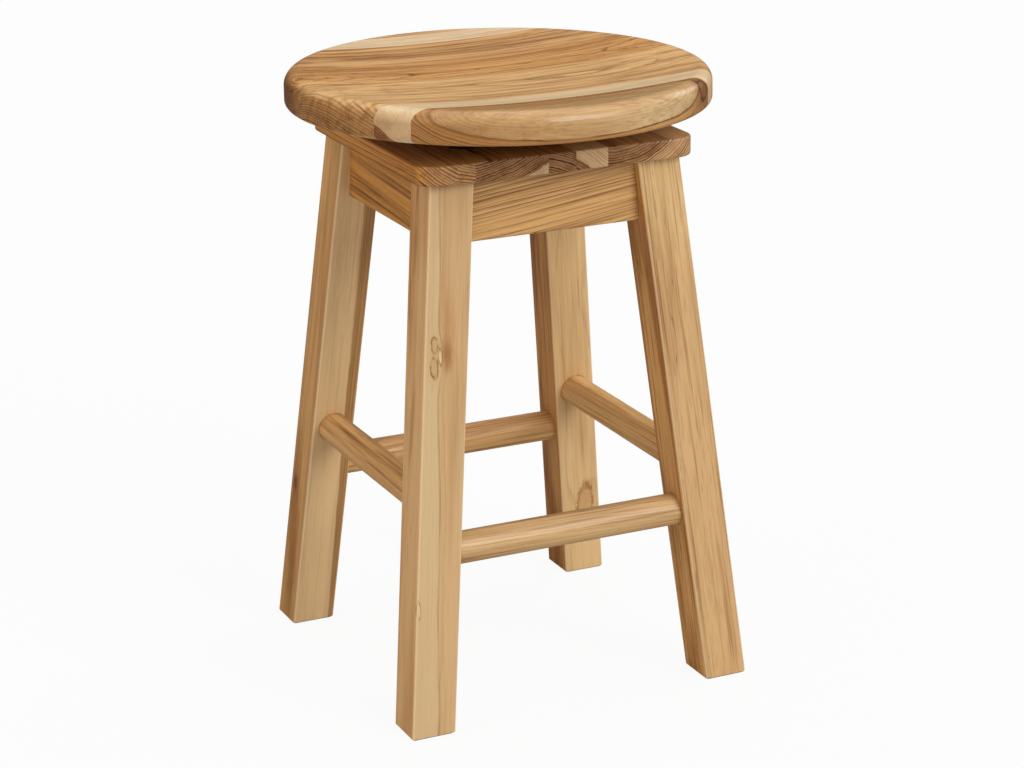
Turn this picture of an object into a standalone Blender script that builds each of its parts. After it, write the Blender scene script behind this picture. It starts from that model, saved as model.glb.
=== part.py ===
"""Swivel counter stool in solid hickory: a dished round seat on a ball-bearing swivel,
carried by a glued-up base board, four splayed legs, aprons and round stretchers.

Units are metres, +Z is up, and the origin is on the floor under the swivel axis.
The front of the stool is the -Y side.
"""
from math import asin, copysign, cos, pi, radians, sin, sqrt

import bmesh
import bpy
from mathutils import Matrix

# Seat
SEAT_RADIUS = 0.210
SEAT_THICKNESS = 0.032
SEAT_TOP_ROUND = 0.0135
SEAT_BOTTOM_ROUND = 0.005
DISH_DEPTH = 0.010
SEAT_TURN = radians(1.1)

# Seat staves, laid inwards from the rim; the front field stave takes the rest
FRONT_CAP_WIDTH = 0.0705
PALE_STRIP_WIDTH = 0.0315
MIDDLE_FIELD_WIDTH = 0.076
REAR_FIELD_WIDTH = 0.0686
REAR_CAP_WIDTH = 0.0229

# Base board under the swivel, laid in staves from its left side
BOARD_OVERHANG = 0.0132
BOARD_THICKNESS = 0.019
BOARD_CORNER_RADIUS = 0.0215
BOARD_EDGE_ROUND = 0.002
BOARD_LEFT_WIDTH = 0.0543
BOARD_SECOND_WIDTH = 0.0755
BOARD_THIRD_WIDTH = 0.0289
BOARD_FOURTH_WIDTH = 0.0336

# Legs, square in plan and splayed both ways
LEG_HEIGHT = 0.535
LEG_WIDTH = 0.0457
FOOT_SPAN = 0.3686
TOP_SPAN = 0.2636
LEG_EDGE_ROUND = 0.003
FOOT_CHAMFER = 0.0015

# Aprons, tenoned into the legs
APRON_HEIGHT = 0.0625
APRON_THICKNESS = 0.019
APRON_SET_BACK = 0.0083
APRON_EDGE_ROUND = 0.002
TENON_THICKNESS = 0.0095
TENON_SHOULDER = 0.008
TENON_TIP_WALL = 0.003

# Round stretchers, set into blind bores
STRETCHER_DIAMETER = 0.032
STRETCHER_HEIGHT = 0.175
STRETCHER_STEP = 0.046
STRETCHER_DEPTH = 0.026
STRETCHER_END_CHAMFER = 0.0015

# Corner blocks between neighbouring aprons
BLOCK_HEIGHT = 0.024
BLOCK_THICKNESS = 0.020
BLOCK_LEG_CLEARANCE = 0.002
BLOCK_SCREW_SPREAD = 0.016
BLOCK_SCREW_BITE = 0.011

# Swivel
SWIVEL_HEIGHT = 0.024
PLATE_SIZE = 0.178
PLATE_CORNER_RADIUS = 0.012
PLATE_THICKNESS = 0.0025
PLATE_HOLE_INSET = 0.018
RACE_RADIUS = 0.040
RACE_MARGIN = 0.0125
RACE_WALL_SLOPE = 0.004
RACE_GAP = 0.004
BALL_DIAMETER = 0.008
BALL_COUNT = 10
CAGE_WIDTH = 0.014
CAGE_THICKNESS = 0.0012
RIVET_SHANK_RADIUS = 0.0055
RIVET_HEAD_RADIUS = 0.010
RIVET_HEAD_HEIGHT = 0.002

# Screws
SCREW_RADIUS = 0.0021
SCREW_HEAD_RADIUS = 0.0046
SCREW_HEAD_HEIGHT = 0.003
SCREW_TIP = 0.004
PLATE_SCREW_BITE = 0.012
ACCESS_HOLE_RADIUS = 0.005

# Clearances
FIT_GAP = 0.0003
GLUE_GAP = 0.0003
RUNNING_GAP = 0.0003
CUT_MARGIN = 0.010

# Smoothness of the round forms
SEAT_STEPS = 72
STRETCHER_STEPS = 24
PLATE_STEPS = 36
SCREW_STEPS = 10
RIVET_STEPS = 16
ARC_SEGMENTS = 6

# Heights that follow from the sizes above
BOARD_TOP = LEG_HEIGHT + BOARD_THICKNESS
SWIVEL_MID = BOARD_TOP + SWIVEL_HEIGHT / 2
SEAT_BOTTOM = BOARD_TOP + SWIVEL_HEIGHT
FLANGE_FACE = SWIVEL_HEIGHT / 2 - FIT_GAP
BOARD_SIZE = TOP_SPAN + 2 * BOARD_OVERHANG
SPLAY = (FOOT_SPAN - TOP_SPAN) / 2 / LEG_HEIGHT
APRON_FACE = TOP_SPAN / 2 - APRON_SET_BACK
APRON_MID = APRON_FACE - APRON_THICKNESS / 2
APRON_INNER = APRON_FACE - APRON_THICKNESS
PLATE_HOLE = PLATE_SIZE / 2 - PLATE_HOLE_INSET

CORNERS = {
    "front_left": (-1, -1),
    "front_right": (1, -1),
    "back_right": (1, 1),
    "back_left": (-1, 1),
}


# Scene helpers

def clear_scene():
    for obj in list(bpy.data.objects):
        bpy.data.objects.remove(obj)


def new_collection(name):
    collection = bpy.data.collections.new(name)
    bpy.context.scene.collection.children.link(collection)
    return collection


def new_material(name, colour, roughness, metallic=0.0):
    material = bpy.data.materials.new(name)
    material.use_nodes = True
    shader = material.node_tree.nodes["Principled BSDF"]
    shader.inputs["Base Color"].default_value = (*colour, 1.0)
    shader.inputs["Roughness"].default_value = roughness
    shader.inputs["Metallic"].default_value = metallic
    return material


class Workshop:
    """Keeps the collections, the materials and the empty that carries the turning seat."""

    def __init__(self):
        self.parts = new_collection("swivel_counter_stool")
        self.cutters = new_collection("cutters")
        self.heartwood = new_material("hickory_heartwood", (0.50, 0.28, 0.11), 0.42)
        self.sapwood = new_material("hickory_sapwood", (0.72, 0.52, 0.28), 0.42)
        self.leg_wood = new_material("hickory_leg", (0.60, 0.39, 0.18), 0.45)
        self.block_wood = new_material("glue_block_wood", (0.55, 0.36, 0.18), 0.65)
        self.black_steel = new_material("black_swivel_steel", (0.02, 0.02, 0.022), 0.40, 0.6)
        self.bright_steel = new_material("bearing_steel", (0.55, 0.55, 0.57), 0.22, 1.0)
        self.zinc = new_material("zinc_screw", (0.52, 0.50, 0.45), 0.35, 1.0)
        self.seat_pivot = self.empty("seat_pivot", (0, 0, SEAT_BOTTOM), SEAT_TURN)

    def empty(self, name, location, turn):
        pivot = bpy.data.objects.new(name, None)
        pivot.location = location
        pivot.rotation_euler = (0, 0, turn)
        self.parts.objects.link(pivot)
        return pivot

    def part(self, name, mesh, material, location=(0, 0, 0), rotation=(0, 0, 0), parent=None):
        obj = bpy.data.objects.new(name, mesh)
        mesh.materials.clear()
        mesh.materials.append(material)
        self.parts.objects.link(obj)
        return self.place(obj, location, rotation, parent)

    def cutter(self, name, mesh, location=(0, 0, 0), rotation=(0, 0, 0), parent=None):
        obj = bpy.data.objects.new(name, mesh)
        obj.hide_render = True
        obj.display_type = "WIRE"
        self.cutters.objects.link(obj)
        return self.place(obj, location, rotation, parent)

    @staticmethod
    def place(obj, location, rotation, parent):
        obj.location = location
        obj.rotation_euler = rotation
        obj.parent = parent
        return obj


# Mesh helpers

def to_mesh(name, form):
    mesh = bpy.data.meshes.new(name)
    form.to_mesh(mesh)
    form.free()
    return mesh


def box_form(size_x, size_y, size_z):
    form = bmesh.new()
    bmesh.ops.create_cube(form, size=1.0)
    bmesh.ops.scale(form, vec=(size_x, size_y, size_z), verts=form.verts)
    return form


def cylinder_mesh(name, radius, low, high, segments):
    form = bmesh.new()
    bmesh.ops.create_cone(form, cap_ends=True, segments=segments,
                          radius1=radius, radius2=radius, depth=high - low)
    bmesh.ops.translate(form, vec=(0, 0, (low + high) / 2), verts=form.verts)
    return to_mesh(name, form)


def upright(edge):
    return abs(edge.verts[0].co.z - edge.verts[1].co.z) > 1e-6


def round_edges(form, edges, width, segments):
    bmesh.ops.bevel(form, geom=edges, offset=width, offset_type="OFFSET", segments=segments,
                    profile=0.5, affect="EDGES", clamp_overlap=True)


def profile_mesh(name, points, closed=False):
    """Outline in the XZ plane for a turned shape, running down its outer side."""
    count = len(points)
    edges = [(i, i + 1) for i in range(count - 1)]
    if closed:
        edges.append((count - 1, 0))
    mesh = bpy.data.meshes.new(name)
    mesh.from_pydata([(x, 0.0, z) for x, z in points], edges, [])
    return mesh


def turn_profile(obj, steps):
    turning = obj.modifiers.new("turned", "SCREW")
    turning.steps = steps
    turning.render_steps = steps
    turning.use_merge_vertices = True
    turning.merge_threshold = 0.00001
    turning.use_smooth_shade = True
    return obj


def arc(centre_x, centre_z, radius, start, end, segments=ARC_SEGMENTS):
    """Points of a circular arc, with angles in radians from +X towards +Z."""
    angles = [start + (end - start) * i / segments for i in range(segments + 1)]
    return [(centre_x + radius * cos(a), centre_z + radius * sin(a)) for a in angles]


def boolean(obj, cutter, operation="DIFFERENCE"):
    modifier = obj.modifiers.new(cutter.name, "BOOLEAN")
    modifier.operation = operation
    modifier.solver = "EXACT"
    modifier.object = cutter


def flat_mesh(name, outline, thickness):
    """Plate of the given thickness, centred on z = 0, from a closed outline."""
    curve = bpy.data.curves.new(name, "CURVE")
    curve.dimensions = "2D"
    curve.fill_mode = "BOTH"
    curve.extrude = thickness / 2
    spline = curve.splines.new("POLY")
    spline.points.add(len(outline) - 1)
    for point, (x, y) in zip(spline.points, outline):
        point.co = (x, y, 0, 1)
    spline.use_cyclic_u = True
    carrier = bpy.data.objects.new(name, curve)
    bpy.context.scene.collection.objects.link(carrier)
    graph = bpy.context.evaluated_depsgraph_get()
    mesh = bpy.data.meshes.new_from_object(carrier.evaluated_get(graph))
    bpy.data.objects.remove(carrier)
    form = bmesh.new()
    form.from_mesh(mesh)
    bmesh.ops.remove_doubles(form, verts=form.verts, dist=0.00001)
    form.to_mesh(mesh)
    form.free()
    return mesh


# Frame geometry that several pieces share

def leg_centre(z):
    """Distance of a leg's centre from the stool's middle, along X and along Y, at a height."""
    return FOOT_SPAN / 2 - LEG_WIDTH / 2 - SPLAY * z


def leg_inner(z):
    return leg_centre(z) - LEG_WIDTH / 2


def lay_staves(start, widths, end):
    """Limits of staves of the given widths, laid one after another, with a last one up to the end."""
    limits = [start]
    for width in widths:
        limits.append(limits[-1] + width)
    limits.append(end)
    return list(zip(limits[:-1], limits[1:]))


# Screws

def screw_points(length):
    return [
        (0.0, SCREW_HEAD_HEIGHT),
        (SCREW_HEAD_RADIUS * 0.6, SCREW_HEAD_HEIGHT),
        (SCREW_HEAD_RADIUS, SCREW_HEAD_HEIGHT * 0.4),
        (SCREW_HEAD_RADIUS, 0.0),
        (SCREW_RADIUS, 0.0),
        (SCREW_RADIUS, SCREW_TIP - length),
        (0.0, -length),
    ]


def add_screw(shop, name, length, location, points_up, parent=None):
    """Pan-head wood screw with the underside of its head at the location."""
    mesh = profile_mesh(name, screw_points(length))
    flip = (pi, 0, 0) if points_up else (0, 0, 0)
    screw = shop.part(name, mesh, shop.zinc, location, flip, parent)
    return turn_profile(screw, SCREW_STEPS)


def screw_bore(shop, name, length, location, points_up, parent=None):
    mesh = cylinder_mesh(name, SCREW_RADIUS + FIT_GAP, -length - FIT_GAP, SCREW_RADIUS, SCREW_STEPS)
    flip = (pi, 0, 0) if points_up else (0, 0, 0)
    return shop.cutter(name, mesh, location, flip, parent)


# Seat

def seat_points():
    """Half section of the seat: dished top, round rim, flat underside."""
    crest = SEAT_RADIUS - SEAT_TOP_ROUND
    dish_steps = 7
    dish = []
    for i in range(dish_steps):
        share = i / dish_steps
        dish.append((crest * share, SEAT_THICKNESS - DISH_DEPTH * (1 - share ** 2)))
    top = arc(crest, SEAT_THICKNESS - SEAT_TOP_ROUND, SEAT_TOP_ROUND, pi / 2, 0)
    bottom = arc(SEAT_RADIUS - SEAT_BOTTOM_ROUND, SEAT_BOTTOM_ROUND, SEAT_BOTTOM_ROUND,
                 0, -pi / 2, 3)
    return dish + top + bottom + [(0.0, 0.0)]


def seat_stave_rows():
    """Name, front limit and back limit of each stave, in the seat's own frame."""
    front_widths = [FRONT_CAP_WIDTH, PALE_STRIP_WIDTH]
    rear_widths = [MIDDLE_FIELD_WIDTH, REAR_FIELD_WIDTH, PALE_STRIP_WIDTH, REAR_CAP_WIDTH]
    rear_start = SEAT_RADIUS - sum(rear_widths)
    names = ["front_cap", "front_pale", "front_field", "middle_field", "rear_field", "rear_pale", "rear_cap"]
    limits = lay_staves(-SEAT_RADIUS, front_widths, rear_start)
    limits += lay_staves(rear_start, rear_widths[:-1], SEAT_RADIUS)
    return [(f"seat_stave_{name}", low, high) for name, (low, high) in zip(names, limits)]


def add_seat(shop):
    bores = []
    for name, (sx, sy) in CORNERS.items():
        place = (sx * PLATE_HOLE, sy * PLATE_HOLE, -PLATE_THICKNESS - 2 * FIT_GAP)
        length = PLATE_THICKNESS + PLATE_SCREW_BITE
        add_screw(shop, f"seat_screw_{name}", length, place, True, shop.seat_pivot)
        bores.append(screw_bore(shop, f"seat_screw_bore_{name}", length, place, True, shop.seat_pivot))
    for name, low, high in seat_stave_rows():
        pale = "pale" in name
        material = shop.sapwood if pale else shop.heartwood
        stave = shop.part(name, profile_mesh(name, seat_points()), material, parent=shop.seat_pivot)
        turn_profile(stave, SEAT_STEPS)
        low_cut = low + GLUE_GAP / 2 if low > -SEAT_RADIUS else low - CUT_MARGIN
        high_cut = high - GLUE_GAP / 2 if high < SEAT_RADIUS else high + CUT_MARGIN
        slab = box_form(2 * SEAT_RADIUS + CUT_MARGIN, high_cut - low_cut, 2 * SEAT_THICKNESS + CUT_MARGIN)
        slab_name = name + "_slab"
        cutter = shop.cutter(slab_name, to_mesh(slab_name, slab), (0, (low_cut + high_cut) / 2, 0),
                             parent=shop.seat_pivot)
        boolean(stave, cutter, "INTERSECT")
        for bore in bores:
            boolean(stave, bore)
    return bores


# Swivel

def plate_points(reach):
    """Half section of a pressed plate with a ball groove, measured from the ball centres."""
    ball = BALL_DIAMETER / 2
    disc_inner = RACE_GAP / 2
    disc_outer = disc_inner + PLATE_THICKNESS
    groove = ball + RUNNING_GAP
    crown = groove + PLATE_THICKNESS
    wall = RACE_RADIUS + RACE_MARGIN
    hole = RIVET_SHANK_RADIUS + RUNNING_GAP
    crown_angle = asin(disc_outer / crown)
    groove_angle = asin(disc_inner / groove)
    outer_face = [(hole, disc_outer)]
    outer_face += arc(RACE_RADIUS, 0, crown, pi - crown_angle, crown_angle)
    outer_face += [(wall - PLATE_THICKNESS, disc_outer)]
    outer_face += [(wall - PLATE_THICKNESS + RACE_WALL_SLOPE, FLANGE_FACE)]
    outer_face += [(reach, FLANGE_FACE)]
    inner_face = [(reach, FLANGE_FACE - PLATE_THICKNESS)]
    inner_face += [(wall + RACE_WALL_SLOPE, FLANGE_FACE - PLATE_THICKNESS), (wall, disc_inner)]
    inner_face += arc(RACE_RADIUS, 0, groove, groove_angle, pi - groove_angle)
    inner_face += [(hole, disc_inner)]
    return outer_face + inner_face


def plate_trim(shop, name, location, parent=None):
    form = box_form(PLATE_SIZE, PLATE_SIZE, 2 * SWIVEL_HEIGHT)
    round_edges(form, [e for e in form.edges if upright(e)], PLATE_CORNER_RADIUS, 5)
    return shop.cutter(name, to_mesh(name, form), location, parent=parent)


def add_plate(shop, name, location, flip, bores, parent=None):
    """Square pressed plate: a turned disc trimmed to a round-cornered square."""
    reach = PLATE_SIZE / sqrt(2) + CUT_MARGIN
    plate = shop.part(name, profile_mesh(name, plate_points(reach), closed=True),
                      shop.black_steel, location, (pi if flip else 0, 0, 0), parent)
    turn_profile(plate, PLATE_STEPS)
    boolean(plate, plate_trim(shop, name + "_trim", location, parent), "INTERSECT")
    for bore in bores:
        boolean(plate, bore)


def ball_places():
    for i in range(BALL_COUNT):
        angle = 2 * pi * i / BALL_COUNT
        yield i + 1, (RACE_RADIUS * cos(angle), RACE_RADIUS * sin(angle))


def add_ball_race(shop):
    """Ring of balls kept apart by a flat cage, both centred on the swivel's middle plane."""
    inner = RACE_RADIUS - CAGE_WIDTH / 2
    outer = RACE_RADIUS + CAGE_WIDTH / 2
    half = CAGE_THICKNESS / 2
    section = [(inner, half), (outer, half), (outer, -half), (inner, -half)]
    cage = shop.part("ball_cage", profile_mesh("ball_cage", section, closed=True),
                     shop.bright_steel, (0, 0, SWIVEL_MID))
    turn_profile(cage, PLATE_STEPS)
    for number, (x, y) in ball_places():
        name = f"bearing_ball_{number:02d}"
        form = bmesh.new()
        bmesh.ops.create_uvsphere(form, u_segments=10, v_segments=6, radius=BALL_DIAMETER / 2)
        ball = shop.part(name, to_mesh(name, form), shop.bright_steel, (x, y, SWIVEL_MID))
        ball.data.shade_smooth()
        pocket_name = f"ball_pocket_{number:02d}"
        pocket = cylinder_mesh(pocket_name, BALL_DIAMETER / 2 + RUNNING_GAP,
                               -CAGE_THICKNESS, CAGE_THICKNESS, SCREW_STEPS)
        boolean(cage, shop.cutter(pocket_name, pocket, (x, y, SWIVEL_MID)))


def add_rivet(shop):
    """Centre rivet that holds the two plates together, with a head beyond each disc."""
    under_head = RACE_GAP / 2 + PLATE_THICKNESS + RUNNING_GAP
    top = under_head + RIVET_HEAD_HEIGHT
    half = [
        (0.0, top),
        (RIVET_HEAD_RADIUS * 0.7, top),
        (RIVET_HEAD_RADIUS, under_head + RIVET_HEAD_HEIGHT * 0.4),
        (RIVET_HEAD_RADIUS, under_head),
        (RIVET_SHANK_RADIUS, under_head),
    ]
    points = half + [(x, -z) for x, z in reversed(half)]
    rivet = shop.part("swivel_centre_rivet", profile_mesh("swivel_centre_rivet", points),
                      shop.zinc, (0, 0, SWIVEL_MID))
    turn_profile(rivet, RIVET_STEPS)


def add_swivel(shop, seat_bores, board_bores):
    seat_side = (0, 0, SWIVEL_MID - SEAT_BOTTOM)
    add_plate(shop, "swivel_upper_plate", seat_side, False, seat_bores, shop.seat_pivot)
    add_plate(shop, "swivel_lower_plate", (0, 0, SWIVEL_MID), True, board_bores)
    add_ball_race(shop)
    add_rivet(shop)


# Base board

def board_form():
    form = box_form(BOARD_SIZE, BOARD_SIZE, BOARD_THICKNESS)
    round_edges(form, [e for e in form.edges if upright(e)], BOARD_CORNER_RADIUS, 6)
    round_edges(form, [e for e in form.edges if not upright(e) and e.calc_face_angle(0) > 1],
                BOARD_EDGE_ROUND, 2)
    return form


def board_stave_rows():
    widths = [BOARD_LEFT_WIDTH, BOARD_SECOND_WIDTH, BOARD_THIRD_WIDTH, BOARD_FOURTH_WIDTH]
    names = ["board_stave_left", "board_stave_second", "board_stave_third",
             "board_stave_fourth", "board_stave_right"]
    limits = lay_staves(-BOARD_SIZE / 2, widths, BOARD_SIZE / 2)
    return [(name, low, high) for name, (low, high) in zip(names, limits)]


def add_board_screws(shop):
    """Screws of the lower plate, and the bores that they share with the board."""
    bores = []
    length = PLATE_THICKNESS + PLATE_SCREW_BITE
    for name, (sx, sy) in CORNERS.items():
        place = (sx * PLATE_HOLE, sy * PLATE_HOLE, BOARD_TOP + PLATE_THICKNESS + 2 * FIT_GAP)
        add_screw(shop, f"board_screw_{name}", length, place, False)
        bores.append(screw_bore(shop, f"board_screw_bore_{name}", length, place, False))
    return bores


def access_hole(shop):
    """Hole beside the lower plate through which the seat's screws are driven from below."""
    screw_circle = PLATE_HOLE * sqrt(2)
    x = (PLATE_SIZE / 2 + APRON_INNER) / 2
    y = sqrt(max(screw_circle ** 2 - x ** 2, 0))
    mesh = cylinder_mesh("access_hole", ACCESS_HOLE_RADIUS, -BOARD_THICKNESS, BOARD_THICKNESS, RIVET_STEPS)
    return shop.cutter("access_hole", mesh, (x, y, BOARD_TOP - BOARD_THICKNESS / 2))


def add_board(shop, bores):
    middle = BOARD_TOP - BOARD_THICKNESS / 2
    edge = BOARD_SIZE / 2
    hole = access_hole(shop)
    for name, low, high in board_stave_rows():
        stave = shop.part(name, to_mesh(name, board_form()), shop.heartwood, (0, 0, middle))
        low_cut = low + GLUE_GAP / 2 if low > -edge else low - CUT_MARGIN
        high_cut = high - GLUE_GAP / 2 if high < edge else high + CUT_MARGIN
        slab = box_form(high_cut - low_cut, BOARD_SIZE + CUT_MARGIN, 2 * BOARD_THICKNESS)
        slab_name = name + "_slab"
        cutter = shop.cutter(slab_name, to_mesh(slab_name, slab), ((low_cut + high_cut) / 2, 0, middle))
        boolean(stave, cutter, "INTERSECT")
        for bore in [*bores, hole]:
            boolean(stave, bore)


# Aprons

def tenon_bar(grow):
    """Bar through the apron whose two ends are its tenons, or with growth the mortises."""
    tip = APRON_MID - TENON_THICKNESS / 2 - TENON_TIP_WALL - 2 * FIT_GAP
    return box_form(2 * (tip + grow), TENON_THICKNESS + 2 * grow,
                    APRON_HEIGHT - 2 * TENON_SHOULDER + 2 * grow)


def apron_form():
    """Board between two legs, with its ends cut to the legs' splay."""
    form = box_form(2.0, APRON_THICKNESS, APRON_HEIGHT)
    low_edges = [e for e in form.edges if not upright(e) and e.verts[0].co.z < 0]
    long_edges = [e for e in low_edges if abs(e.verts[0].co.x - e.verts[1].co.x) > 1]
    round_edges(form, long_edges, APRON_EDGE_ROUND, 2)
    middle = LEG_HEIGHT - FIT_GAP - APRON_HEIGHT / 2
    for vert in form.verts:
        reach = leg_inner(middle + vert.co.z) - FIT_GAP
        vert.co.x = copysign(reach, vert.co.x)
    return form


def add_aprons(shop):
    """Four aprons, and the mortise cutters for the legs."""
    mortises = []
    middle = LEG_HEIGHT - FIT_GAP - APRON_HEIGHT / 2
    sides = {"front": -pi / 2, "right": 0.0, "back": pi / 2, "left": pi}
    for side, angle in sides.items():
        place = (APRON_MID * cos(angle), APRON_MID * sin(angle), middle)
        turn = (0, 0, angle + pi / 2)
        name = f"apron_{side}"
        apron = shop.part(name, to_mesh(name, apron_form()), shop.heartwood, place, turn)
        bar_name = name + "_tenons"
        boolean(apron, shop.cutter(bar_name, to_mesh(bar_name, tenon_bar(0)), place, turn), "UNION")
        hole_name = name + "_mortises"
        mortises.append(shop.cutter(hole_name, to_mesh(hole_name, tenon_bar(FIT_GAP)), place, turn))
    return mortises


# Stretchers

def stretcher_points(half_length):
    radius = STRETCHER_DIAMETER / 2
    chamfer = STRETCHER_END_CHAMFER
    half = [(0.0, half_length), (radius - chamfer, half_length), (radius, half_length - chamfer)]
    return half + [(x, -z) for x, z in reversed(half)]


def add_stretchers(shop):
    """Front and back rails low, side rails one step higher, and the bores for the legs."""
    bores = []
    upper = STRETCHER_HEIGHT + STRETCHER_STEP
    rows = [
        ("front", STRETCHER_HEIGHT, -pi / 2),
        ("back", STRETCHER_HEIGHT, pi / 2),
        ("left", upper, pi),
        ("right", upper, 0.0),
    ]
    for side, height, angle in rows:
        half_length = leg_inner(height) + STRETCHER_DEPTH
        place = (leg_centre(height) * cos(angle), leg_centre(height) * sin(angle), height)
        turn = (pi / 2, 0, angle)
        name = f"stretcher_{side}"
        rail = shop.part(name, profile_mesh(name, stretcher_points(half_length)), shop.leg_wood, place, turn)
        turn_profile(rail, STRETCHER_STEPS)
        bore_name = name + "_bore"
        bore = cylinder_mesh(bore_name, STRETCHER_DIAMETER / 2 + FIT_GAP, -half_length - FIT_GAP,
                             half_length + FIT_GAP, STRETCHER_STEPS)
        bores.append(shop.cutter(bore_name, bore, place, turn))
    return bores


# Legs

def leg_form(sx, sy):
    """Square post sheared along X and Y, so that its foot and top stay level."""
    height = LEG_HEIGHT - FIT_GAP
    form = box_form(LEG_WIDTH, LEG_WIDTH, height)
    bmesh.ops.translate(form, vec=(0, 0, height / 2), verts=form.verts)
    round_edges(form, [e for e in form.edges if upright(e)], LEG_EDGE_ROUND, 2)
    foot = [e for e in form.edges if not upright(e) and e.verts[0].co.z < height / 2]
    round_edges(form, foot, FOOT_CHAMFER, 1)
    lean = Matrix.Identity(4)
    lean[0][2] = -sx * SPLAY
    lean[1][2] = -sy * SPLAY
    bmesh.ops.transform(form, matrix=lean, verts=form.verts)
    return form


def add_legs(shop, cutters):
    foot = leg_centre(0)
    for name, (sx, sy) in CORNERS.items():
        leg_name = f"leg_{name}"
        leg = shop.part(leg_name, to_mesh(leg_name, leg_form(sx, sy)), shop.leg_wood, (sx * foot, sy * foot, 0))
        for cutter in cutters:
            boolean(leg, cutter)


# Corner blocks

def block_outline():
    """Diagonal brace of the corner at +X +Y: mitred ends on the two aprons, clear of the leg."""
    outer_sum = 2 * leg_inner(LEG_HEIGHT) - BLOCK_LEG_CLEARANCE * sqrt(2)
    inner_sum = outer_sum - BLOCK_THICKNESS * sqrt(2)
    wall = APRON_INNER - FIT_GAP
    return [
        (wall, inner_sum - wall),
        (wall, outer_sum - wall),
        (outer_sum - wall, wall),
        (inner_sum - wall, wall),
    ]


def block_screw_places():
    """Two places on the brace's middle line, on either side of the corner's diagonal."""
    outer_sum = 2 * leg_inner(LEG_HEIGHT) - BLOCK_LEG_CLEARANCE * sqrt(2)
    middle = outer_sum / 2 - BLOCK_THICKNESS / 2 / sqrt(2)
    step = BLOCK_SCREW_SPREAD / sqrt(2)
    return {"a": (middle + step, middle - step), "b": (middle - step, middle + step)}


def add_corner_blocks(shop):
    """Braces screwed up into the board, and the screws' bores for the board."""
    bores = []
    top = LEG_HEIGHT - FIT_GAP
    middle = top - BLOCK_HEIGHT / 2
    length = BLOCK_HEIGHT + BLOCK_SCREW_BITE
    turns = {"back_right": 0.0, "back_left": pi / 2, "front_left": pi, "front_right": -pi / 2}
    for corner, angle in turns.items():
        name = f"corner_block_{corner}"
        block = shop.part(name, flat_mesh(name, block_outline(), BLOCK_HEIGHT), shop.block_wood,
                          (0, 0, middle), (0, 0, angle))
        for mark, (x, y) in block_screw_places().items():
            place = (x * cos(angle) - y * sin(angle), x * sin(angle) + y * cos(angle),
                     top - BLOCK_HEIGHT - FIT_GAP)
            add_screw(shop, f"block_screw_{corner}_{mark}", length, place, True)
            bore = screw_bore(shop, f"block_screw_bore_{corner}_{mark}", length, place, True)
            boolean(block, bore)
            bores.append(bore)
    return bores


def main():
    clear_scene()
    shop = Workshop()
    seat_bores = add_seat(shop)
    plate_bores = add_board_screws(shop)
    add_swivel(shop, seat_bores, plate_bores)
    block_bores = add_corner_blocks(shop)
    add_board(shop, plate_bores + block_bores)
    mortises = add_aprons(shop)
    rail_bores = add_stretchers(shop)
    add_legs(shop, mortises + rail_bores)


main()
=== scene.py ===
"""Looks of a swivel counter stool in clear-finished hickory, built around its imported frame.

Units are metres, +Z is up, the origin is on the floor under the swivel axis and the front
of the stool is the -Y side. Each wooden piece is cut, in its material, out of a log of its
own: the rings, pores, sapwood and knots are functions of the place in that log, so figure
runs through the piece and shows as long grain on its faces and as rings on its ends.
"""

import logging
from dataclasses import dataclass, field, replace
from enum import Enum
from math import asin, cos, pi, radians, sin, sqrt

import bmesh
import bpy
import numpy as np
from mathutils import Matrix, Vector


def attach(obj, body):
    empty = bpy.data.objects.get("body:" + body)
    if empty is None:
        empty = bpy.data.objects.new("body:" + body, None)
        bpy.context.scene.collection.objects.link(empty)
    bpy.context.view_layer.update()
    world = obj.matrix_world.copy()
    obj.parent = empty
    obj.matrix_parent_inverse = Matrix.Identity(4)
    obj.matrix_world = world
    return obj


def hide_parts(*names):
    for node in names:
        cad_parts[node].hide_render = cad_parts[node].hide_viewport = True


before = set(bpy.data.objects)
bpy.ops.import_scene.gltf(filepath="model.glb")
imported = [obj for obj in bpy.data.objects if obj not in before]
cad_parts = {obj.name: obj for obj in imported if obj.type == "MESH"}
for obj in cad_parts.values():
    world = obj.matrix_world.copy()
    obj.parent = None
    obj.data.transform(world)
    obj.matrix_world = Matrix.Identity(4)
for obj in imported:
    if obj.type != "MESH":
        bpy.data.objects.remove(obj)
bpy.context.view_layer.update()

Triple = tuple[float, float, float]
Socket = bpy.types.NodeSocket

LOG = logging.getLogger("stool")
SHARP_ANGLE = radians(32)
MERGE_DISTANCE = 2e-6
NO_TURN: Triple = (0.0, 0.0, 0.0)


class Body(Enum):
    """Bodies of the frame that the pieces ride on."""

    BASE = "base"
    SEAT = "seat"
    RACE = "ball_race"


class Slot(Enum):
    """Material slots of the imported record."""

    SEAT_HEART = "seat_heartwood"
    SEAT_SAP = "seat_sapwood"
    BOARD = "board_wood"
    LEG = "leg_wood"
    APRON = "apron_wood"
    STRETCHER = "stretcher_wood"
    BLOCK = "block_wood"
    BLACK = "black_steel"
    BEARING = "bearing_steel"
    SCREW = "zinc_screw"


CORNERS: dict[str, tuple[int, int]] = {
    "front_left": (-1, -1),
    "front_right": (1, -1),
    "back_right": (1, 1),
    "back_left": (-1, 1),
}
SIDES: dict[str, float] = {"front": -pi / 2, "right": 0.0, "back": pi / 2, "left": pi}


def paint(red: int, green: int, blue: int) -> Triple:
    """Linear colour of a display colour, by the display's own curve.

    Args:
        red: red in steps from 0 to 255.
        green: green.
        blue: blue.

    Returns:
        The linear colour.
    """
    share = np.array([red, green, blue]) / 255.0
    linear = np.where(share <= 0.04045, share / 12.92, ((share + 0.055) / 1.055) ** 2.4)
    return tuple(float(c) for c in linear)


# Meshes from grids


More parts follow.
